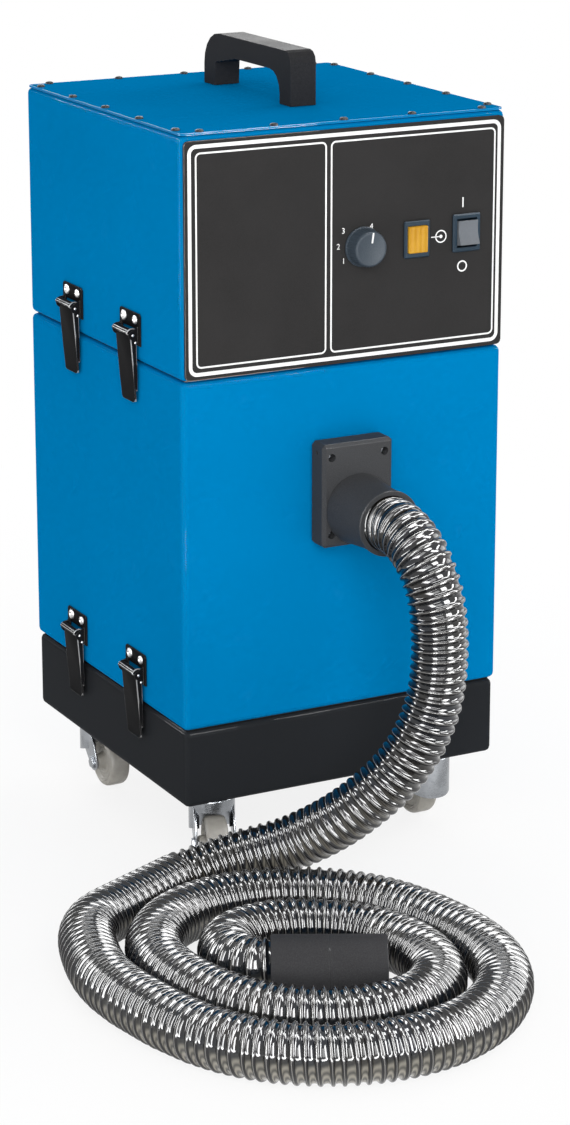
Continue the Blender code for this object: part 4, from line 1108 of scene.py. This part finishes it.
# Latches: pressed bracket, channel lever with a rolled nose and a rounded toe, bright rivets.
# Local X points out of the wall and the lever's pivot is the origin
latchSettings = {
    "out": 0.0066,
    "width": 0.031,
    "length": 0.062,
    "sheet": 0.0012,
    "topOut": 0.0020,
    "tipOut": -0.0031,
    "nose": 0.0062,
    "noseFoot": ((0.0050, 0.0009), (0.0036, 0.0002)),
    "backDrop": 0.0006,
    "tipStart": (0.0003, 0.004),
    "tipEdge": 0.0006,
    "reach": 0.0042,
    "tipReach": 0.0021,
    "edge": 0.0008,
    "roomShare": 0.14,
    "roomShift": 0.0030,
    "taper": 0.0015,
    "taperStart": 0.026,
    "toe": 0.0045,
    "over": 0.002,
    "farOver": 0.02,
    "cutReach": 0.03,
    "bead": 0.0005,
    "beadAngles": (30, 47),
    "beadInset": 0.001,
    "beadSink": 0.0002,
    "proud": 0.0001,
    "bevelSlope": (0.12, 0.99),
    "plateHalf": 0.0210,
    "plateTop": 0.0190,
    "plateCorner": 0.0020,
    "plateEdge": 0.0004,
    "webLow": 0.0047,
    "foot": 0.0100,
    "plateSheet": 0.0015,
    "ear": 0.0042,
    "earSheet": 0.0012,
    "earEdge": 0.0003,
    "earRise": 0.003,
    "rivets": ((-0.0118, 0.0040), (0.0112, 0.0047)),
    "rivetHeight": 0.0128,
    "rivetProud": 0.0017,
    "rivetHollowShare": 0.32,
    "earRivet": (-0.0026, -0.0068),
    "cap": ((0, 0.0006), (0.0006, 0.0005), (0.0011, 0.0002), (0.0012, 0), (0, -0.0002)),
}
standUp = Matrix(((1, 0, 0, 0), (0, 0, 1, 0), (0, 1, 0, 0), (0, 0, 0, 1)))
faceOut = Matrix(((0, 0, 1, 0), (1, 0, 0, 0), (0, 1, 0, 0), (0, 0, 0, 1)))


# A profile in X and Z, as wide along Y as asked, its rims rounded
def upright(name, outline, width, bevel=0.0, middle=0.0):
    return moved(slab(name, outline, middle - width / 2, middle + width / 2, bevel), standUp)


def leverBody(s):
    tip, length = s["tipOut"], s["length"]
    start = math.degrees(math.asin(s["topOut"] / s["nose"]))
    outline = arc((0, 0), s["nose"], 135, start, 22) + list(s["noseFoot"])
    outline += [(s["topOut"], -s["backDrop"]), (tip + s["tipStart"][0], -length + s["tipStart"][1])]
    outline += [(tip + s["tipEdge"], -length), (tip - s["tipReach"], -length), (-s["reach"], 0)]
    return upright("leverBody", outline, s["width"], s["edge"])


# The room between the flanges, open at the back
def leverRoom(s):
    sheet, length, top = s["sheet"], s["length"], s["nose"] + s["over"]
    room = s["nose"] - sheet
    inner = [(room * s["roomShare"] + s["roomShift"], top)] + arc((0, 0), room, 82, 40, 8)
    inner += [(s["topOut"] - sheet, 0), (s["tipOut"] - sheet, -length + sheet)]
    inner += [(-s["farOver"], -length + sheet), (-s["farOver"], top)]
    return upright("leverRoom", inner, s["width"] - 2 * sheet)


# What the taper and the toe's round corner leave out, on one side
def leverCorner(s, side):
    half, length, toe, over = s["width"] / 2, s["length"], s["toe"], s["over"]
    edge = side * (half - s["taper"])
    hub = edge - side * toe
    corner = [(side * (half + over), -length - over), (side * (half + over), -s["taperStart"])]
    corner += [(side * half, -s["taperStart"]), (edge, -length + toe)]
    for a in (math.radians(degrees) for degrees in range(0, 91, 15)):
        corner.append((hub + side * toe * math.cos(a), -length + toe - toe * math.sin(a)))
    corner.append((hub, -length - over))
    return moved(slab("leverCorner", corner, -s["cutReach"], s["cutReach"]), faceOut)


def leverMesh(s):
    nose, end = s["nose"], s["width"] / 2 - s["beadInset"]
    cutters = [leverRoom(s)] + [leverCorner(s, side) for side in (-1, 1)]
    pieces = [cutAway(leverBody(s), cutters)]
    bead = lathe("leverBead", [(0, -end), (s["bead"], -end), (s["bead"], end), (0, end)], 20)
    across = Matrix.Rotation(math.radians(90), 4, "X")
    for angle in map(math.radians, s["beadAngles"]):
        x, z = nose * math.cos(angle) - s["beadSink"], nose * math.sin(angle) - s["beadSink"]
        pieces.append(moved(bead, at(x, 0, z, across)))
    lever = joined("lever", pieces)
    # The rim value marks the bevel faces and the beads on the nose, which the black steel finish lightens
    # as a painted highlight
    rim = lever.attributes.new("rim", "FLOAT", "FACE")
    flattest, steepest = s["bevelSlope"]
    bright = []
    for face in lever.polygons:
        proud = math.hypot(face.center.x, face.center.z) > nose + s["proud"] and face.center.z > 0
        bright.append(float(flattest < abs(face.normal.y) < steepest or proud))
    rim.data.foreach_set("value", bright)
    return lever


def bracketMesh(s):
    half, window, top, foot = s["plateHalf"], s["width"] / 2 + fitGap, s["plateTop"], s["foot"]
    cut, web = s["plateCorner"], s["webLow"]
    outline = [(half, top - cut), (half - cut, top), (-half + cut, top), (-half, top - cut), (-half, -foot)]
    outline += [(-window, -foot), (-window, web), (window, web), (window, -foot), (half, -foot)]
    wall = -s["out"] + fitGap
    plateMesh = slab("bracketPlate", outline, wall, wall + s["plateSheet"], s["plateEdge"], 2)
    pieces = [moved(plateMesh, faceOut)]
    root = wall + s["plateSheet"] / 2
    ear = arc((0, 0), s["ear"], -60, 60, 12) + [(root, web + s["earRise"]), (root, -foot)]
    for side in (-1, 1):
        middle = side * (window + s["earSheet"] / 2)
        pieces.append(upright("bracketEar", ear, s["earSheet"], s["earEdge"], middle))
    return joined("bracket", pieces)


# Bright ends of the pivot and of a second rivet, on both ears
def earCaps(s):
    cap = lathe("cap", s["cap"], 24)
    face = s["width"] / 2 + fitGap + s["earSheet"]
    caps = []
    for x, z in ((0, 0), s["earRivet"]):
        for side in (-1, 1):
            outward = Matrix.Rotation(math.radians(-90 * side), 4, "X")
            caps.append(moved(cap, at(x, side * face, z, outward)))
    return caps


def latchSet(s):
    lever, bracket, caps = leverMesh(s), bracketMesh(s), earCaps(s)
    bright = []
    for latch in latches:
        low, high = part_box(latch + "_bracket")
        left = "_left_" in latch
        wall = high.x if left else low.x
        out = -1 if left else 1
        pivot = at(wall + out * (s["out"] - fitGap), (low.y + high.y) / 2, high.z - s["plateTop"])
        side = Matrix.Diagonal((out, 1, 1, 1))
        for piece, mesh, body in (("bracket", bracket, "cabinet"), ("lever", lever, latch + "_lever")):
            made = settle(f"{latch}_{piece}_form", moved(mesh, pivot @ side), blackSteel, body, 40)
            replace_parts(made, f"{latch}_{piece}")
        front = out * (-s["out"] + fitGap + s["plateSheet"])
        for y, radius in s["rivets"]:
            rivet = rivetMesh(radius, s["rivetProud"], radius * s["rivetHollowShare"])
            place = pivot @ at(front, y, s["rivetHeight"], outLeft if left else outRight)
            bright.append(moved(rivet, place))
        bright += [moved(cap, pivot @ side) for cap in caps]
    return settle("latchRivets", joined("latchRivets", bright), brightSteel, "cabinet")


latchSet(latchSettings)


boltSettings = {
    "profile": ((0, -0.0022), (0.0018, -0.0022), (0.0031, -0.0016), (0.0036, -0.0006), (0.0036, 0), (0, 0)),
    "plate": 0.0025,
    "across": 0.0195,
}


def casterBolts(s):
    bolt = lathe("bolt", s["profile"], 24)
    made = []
    for corner in corners:
        low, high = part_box(corner + "_caster_plate")
        x, y = (low.x + high.x) / 2, (low.y + high.y) / 2
        for dx in (-s["across"], s["across"]):
            for dy in (-s["across"], s["across"]):
                made.append(moved(bolt, at(x + dx, y + dy, high.z - s["plate"])))
    return settle("casterBolts", joined("casterBolts", made), zincPlate, "cabinet")


casterBolts(boltSettings)

grilleScrewSettings = {"radius": 0.0030, "height": 0.0016, "recess": 0.0015, "inset": 0.0052}


def grilleScrews(s):
    low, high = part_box("exhaust_grille")
    head = screwMesh(s["radius"], s["height"], s["recess"])
    made = []
    for x in (low.x + s["inset"], high.x - s["inset"]):
        for z in (low.z + s["inset"], high.z - s["inset"]):
            made.append(moved(head, at(x, high.y, z, outBack)))
    return settle("grilleScrews", joined("grilleScrews", made), screwBlack, "cabinet")


grilleScrews(grilleScrewSettings)
print("fasteners made")


# Casters: turned wheels with ringed side discs, hooded forks arched over them.
# Hub and disc points are (radius, drop), tread points (inset, drop), each from its own end face
casterSettings = {
    "places": {"front_left": 252, "front_right": 90, "back_left": 270, "back_right": 50},
    "trail": 0.020,
    "radius": 0.025,
    "width": 0.020,
    "hubProud": 0.0053,
    "hubPoints": ((0.0041, 0), (0.0066, 0), (0.0074, 0.0008)),
    "discPoints": ((0.0080, 0.0014), (0.0088, 0.0022), (0.0112, 0.0022), (0.0118, 0.0016), (0.0128, 0.0016),
                   (0.0134, 0.0022), (0.0168, 0.0022), (0.0178, 0.0012), (0.0184, 0.0002), (0.0190, 0),
                   (0.0196, 0.0004), (0.0201, 0.0009), (0.0207, 0.0003)),
    "treadPoints": ((0.0030, 0.0002), (0.0014, 0.0010), (0.0004, 0.0026), (0.00005, 0.0048)),
    "hoodTop": 0.0664,
    "hoodCap": ((0, 0.0014), (0.0038, 0.0014), (0.0040, 0.0003), (0.0060, 0)),
    "hoodCeiling": ((0, 0.0024), (0.0008, 0.0007), (0.0026, 0)),
    "hoodLow": 0.0452,
    "hoodRadius": 0.0212,
    "skirtLow": 0.0265,
    "skirtRise": 0.306,
    "lip": 0.0003,
    "sheet": 0.0018,
    "crown": 0.0036,
    "arch": 0.0285,
    "archHalf": 0.0138,
    "cutReach": 0.03,
    "cutLow": 0.01,
    "legIn": 0.0167,
    "legSheet": 0.0020,
    "legEdge": 0.0005,
    "legEye": 0.008,
    "legFront": ((0.0022, -0.0030), (-0.0010, 0.0018)),
    "legSide": ((0.0090, 0.0135), (0.0070, 0.0146), (-0.0070, 0.0146), (-0.0092, 0.0128), (-0.0094, 0.0010),
                (-0.0086, -0.0014)),
    "nut": 0.0056,
    "nutHeight": 0.0026,
    "nutEdge": 0.0006,
    "washer": 0.0066,
    "washerHeight": 0.0007,
    "axle": 0.0034,
}


def casterPlace(corner):
    low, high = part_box(corner + "_caster_plate")
    turn = Matrix.Rotation(math.radians(casterSettings["places"][corner]), 4, "Z")
    return at((low.x + high.x) / 2, (low.y + high.y) / 2, 0, turn)


def wheelMesh(s):
    half, radius = s["width"] / 2, s["radius"]
    side = [(r, half + s["hubProud"] - drop) for r, drop in s["hubPoints"]]
    side += [(r, half - drop) for r, drop in s["discPoints"]]
    side += [(radius - inset, half - drop) for inset, drop in s["treadPoints"]]
    profile = side + [(r, -z) for r, z in reversed(side)]
    mesh = lathe("wheel", profile, 72, closed=True)
    mesh.transform(Matrix.Rotation(math.radians(90), 4, "X"))
    return mesh


# A turned hood, arched over the wheel and cut off on a slant
def hoodMesh(s, axle):
    top, r, crown, skirt, lip = s["hoodTop"], s["hoodRadius"], s["crown"], s["skirtLow"], s["lip"]
    inner, ceiling = r - s["sheet"], top - s["sheet"]
    hood = [(x, top + rise) for x, rise in s["hoodCap"]]
    hood += [(r - crown + x, top - crown + z) for x, z in arc((0, 0), crown, 90, 0, 8)]
    hood += [(r, skirt + lip), (r - lip, skirt), (inner + lip, skirt), (inner, skirt + lip)]
    hood += [(inner - inset, ceiling - drop) for inset, drop in s["hoodCeiling"]] + [(0, ceiling)]
    half, far = s["archHalf"], s["cutReach"]
    opening = lathe("opening", [(0, -half), (s["arch"], -half), (s["arch"], half), (0, half)], 96)
    slant = [(x, skirt + s["skirtRise"] * (x + r)) for x in (far, -far)]
    below = upright("below", [(-far, s["cutLow"]), (far, s["cutLow"]), *slant], 2 * far)
    across = Matrix.Rotation(math.radians(90), 4, "X")
    return cutAway(lathe("hood", hood, 72), [moved(opening, at(axle[0], 0, axle[1], across)), below])


def legMesh(s, axle):
    low = s["hoodLow"]
    outline = arc(axle, s["legEye"], 200, 350, 18) + [(axle[0] + x, low + z) for x, z in s["legFront"]]
    outline += [(x, low + z) for x, z in s["legSide"]]
    return slab("leg", outline, 0, s["legSheet"], s["legEdge"], 3)


def forkMesh(s):
    axle = (s["trail"], s["radius"])
    leg = legMesh(s, axle)
    turns = [math.radians(a) for a in range(0, 360, 60)]
    hexagon = [(s["nut"] * math.cos(a), s["nut"] * math.sin(a)) for a in turns]
    nut = slab("nut", hexagon, 0, s["nutHeight"], s["nutEdge"], 3)
    rise = s["washerHeight"]
    washer = lathe("washer", [(0, 0), (s["washer"], 0), (s["washer"], rise), (0, rise)], 32)
    pieces = [hoodMesh(s, axle)]
    for side in (-1, 1):
        lift = s["legIn"] if side > 0 else -s["legIn"] - s["legSheet"]
        pieces.append(moved(leg, Matrix.Translation((0, lift, 0)) @ standUp))
        outward = Matrix.Rotation(math.radians(-90 * side), 4, "X")
        face = Matrix.Translation((axle[0], side * (s["legIn"] + s["legSheet"]), axle[1])) @ outward
        pieces += [moved(washer, face), moved(nut, face)]
    reach = s["legIn"] + s["legSheet"] / 2
    rod = lathe("axle", [(0, -reach), (s["axle"], -reach), (s["axle"], reach), (0, reach)], 32)
    pieces.append(moved(rod, at(axle[0], 0, axle[1], Matrix.Rotation(math.radians(90), 4, "X"))))
    return joined("fork", pieces)


def casters(s):
    wheel, fork = wheelMesh(s), forkMesh(s)
    for corner in corners:
        place = casterPlace(corner)
        wheelPlace = place @ Matrix.Translation((s["trail"], 0, s["radius"]))
        tyre = settle(corner + "_tyre", moved(wheel, wheelPlace), wheelGrey, corner + "_wheel", 30)
        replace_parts(tyre, corner + "_caster_wheel")
        yoke = settle(corner + "_yoke", moved(fork, place), zincPlate, corner + "_fork", 30)
        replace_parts(yoke, corner + "_caster_fork")


casters(casterSettings)
print("casters made")


# Room: white floor that keeps a soft shadow, white walls for the camera and for reflections
floorSettings = {"half": 6, "near": 0.45, "far": 1.25, "lift": 0.84}
white = (1, 1, 1, 1)


def floorFinish(s):
    f = Finish("floorWhite", {"Roughness": 0.9, "Specular IOR Level": 0.1})
    grain = f.noise(40.0, 2.0)
    f.feed(colour=f.blend(grain, (0.92, 0.92, 0.92), (0.95, 0.95, 0.95)))
    away = f.node("ShaderNodeVectorMath", {"operation": "LENGTH"}, {0: f.place}, "Value")
    lift = s["lift"] + (1 - s["lift"]) * f.clamp(away, s["near"], s["far"])
    seen = f.sum("MAXIMUM", f.ray("Camera") * lift, f.ray("Glossy"))
    glow = f.node("ShaderNodeEmission", {}, {"Color": white, "Strength": 1.0})
    f.show(f.node("ShaderNodeMixShader", {}, {0: seen, 1: f.surface, 2: glow}))
    return f.material


def addFloor(s):
    half = s["half"]
    points = [(-half, -half, 0), (half, -half, 0), (half, half, 0), (-half, half, 0)]
    mesh = meshOf("floor", points, [(0, 1, 2, 3)])
    floor = bpy.data.objects.new("floor", mesh)
    mesh.materials.append(floorFinish(s))
    bpy.context.scene.collection.objects.link(floor)


addFloor(floorSettings)


# The room lights diffuse pieces by its strength, and is plain white to the camera and to gloss
def addWorld(strength):
    world = bpy.data.worlds.new("studioWorld")
    bpy.context.scene.world = world
    world.use_nodes = True
    w = NodeTree(world.node_tree, "ShaderNodeOutputWorld")
    seen = w.sum("MAXIMUM", w.ray("Camera"), w.sum("MAXIMUM", w.ray("Glossy"), w.ray("Transmission")))
    light = w.node("ShaderNodeBackground", {}, {"Color": white, "Strength": strength})
    wall = w.node("ShaderNodeBackground", {}, {"Color": white, "Strength": 1.0})
    w.show(w.node("ShaderNodeMixShader", {}, {0: seen, 1: light, 2: wall}))


def addLamp(name, place, target, size, watts):
    data = bpy.data.lights.new(name, "AREA")
    data.shape = "RECTANGLE"
    data.size, data.size_y = size
    data.energy = watts
    lamp = bpy.data.objects.new(name, data)
    lamp.location = place
    lamp.rotation_euler = (Vector(target) - Vector(place)).to_track_quat("-Z", "Y").to_euler()
    bpy.context.scene.collection.objects.link(lamp)
    return lamp


# A softbox gives glossy pieces their streaks, and adds nothing to the light on the rest
def addSoftbox(name, place, target, size, brightness):
    lamp = addLamp(name, place, target, size, brightness * math.pi * size[0] * size[1])
    lamp.visible_diffuse = False
    lamp.visible_camera = False


# Place, target, size and watts, or a softbox's brightness
lamps = {
    "keyLamp": ((-1.1, -2.6, 1.45), (0, 0, 0.35), (1.6, 1.6), 46),
    "backLamp": ((0.9, 2.6, 1.2), (0, 0, 0.4), (1.6, 1.6), 30),
    "rightLamp": ((2.6, 0.5, 1.2), (0, 0, 0.4), (1.6, 1.6), 22),
}
softboxes = {
    "leftSoftbox": ((-0.80, -0.98, 0.48), (-0.05, -0.38, 0.22), (0.34, 0.9), 24),
    "rightSoftbox": ((0.28, -1.15, 0.50), (0, -0.36, 0.20), (0.40, 0.8), 28),
    "topSoftbox": ((-0.1, -0.45, 2.1), (-0.1, -0.4, 0), (1.3, 0.4), 24),
    "farLeftSoftbox": ((-1.30, 0.50, 0.75), (-0.05, -0.30, 0.20), (0.22, 1.2), 22),
    "farRightSoftbox": ((1.25, -0.75, 0.75), (0, -0.32, 0.20), (0.25, 1.2), 26),
    "edgeSoftbox": ((0.66, -0.66, 1.45), (0, -0.36, 0.45), (1.1, 0.32), 26),
    "latchSoftbox": ((-1.05, 1.45, 1.00), (-0.28, 0, 0.40), (0.5, 0.5), 26),
    "lowSoftbox": ((-0.42, -0.92, 0.05), (-0.16, -0.45, 0.02), (0.85, 0.05), 26),
}
roomStrength = 0.60
addWorld(roomStrength)
for name, values in lamps.items():
    addLamp(name, *values)
for name, values in softboxes.items():
    addSoftbox(name, *values)
bpy.context.scene.view_settings.view_transform = "Standard"
print("room lit")
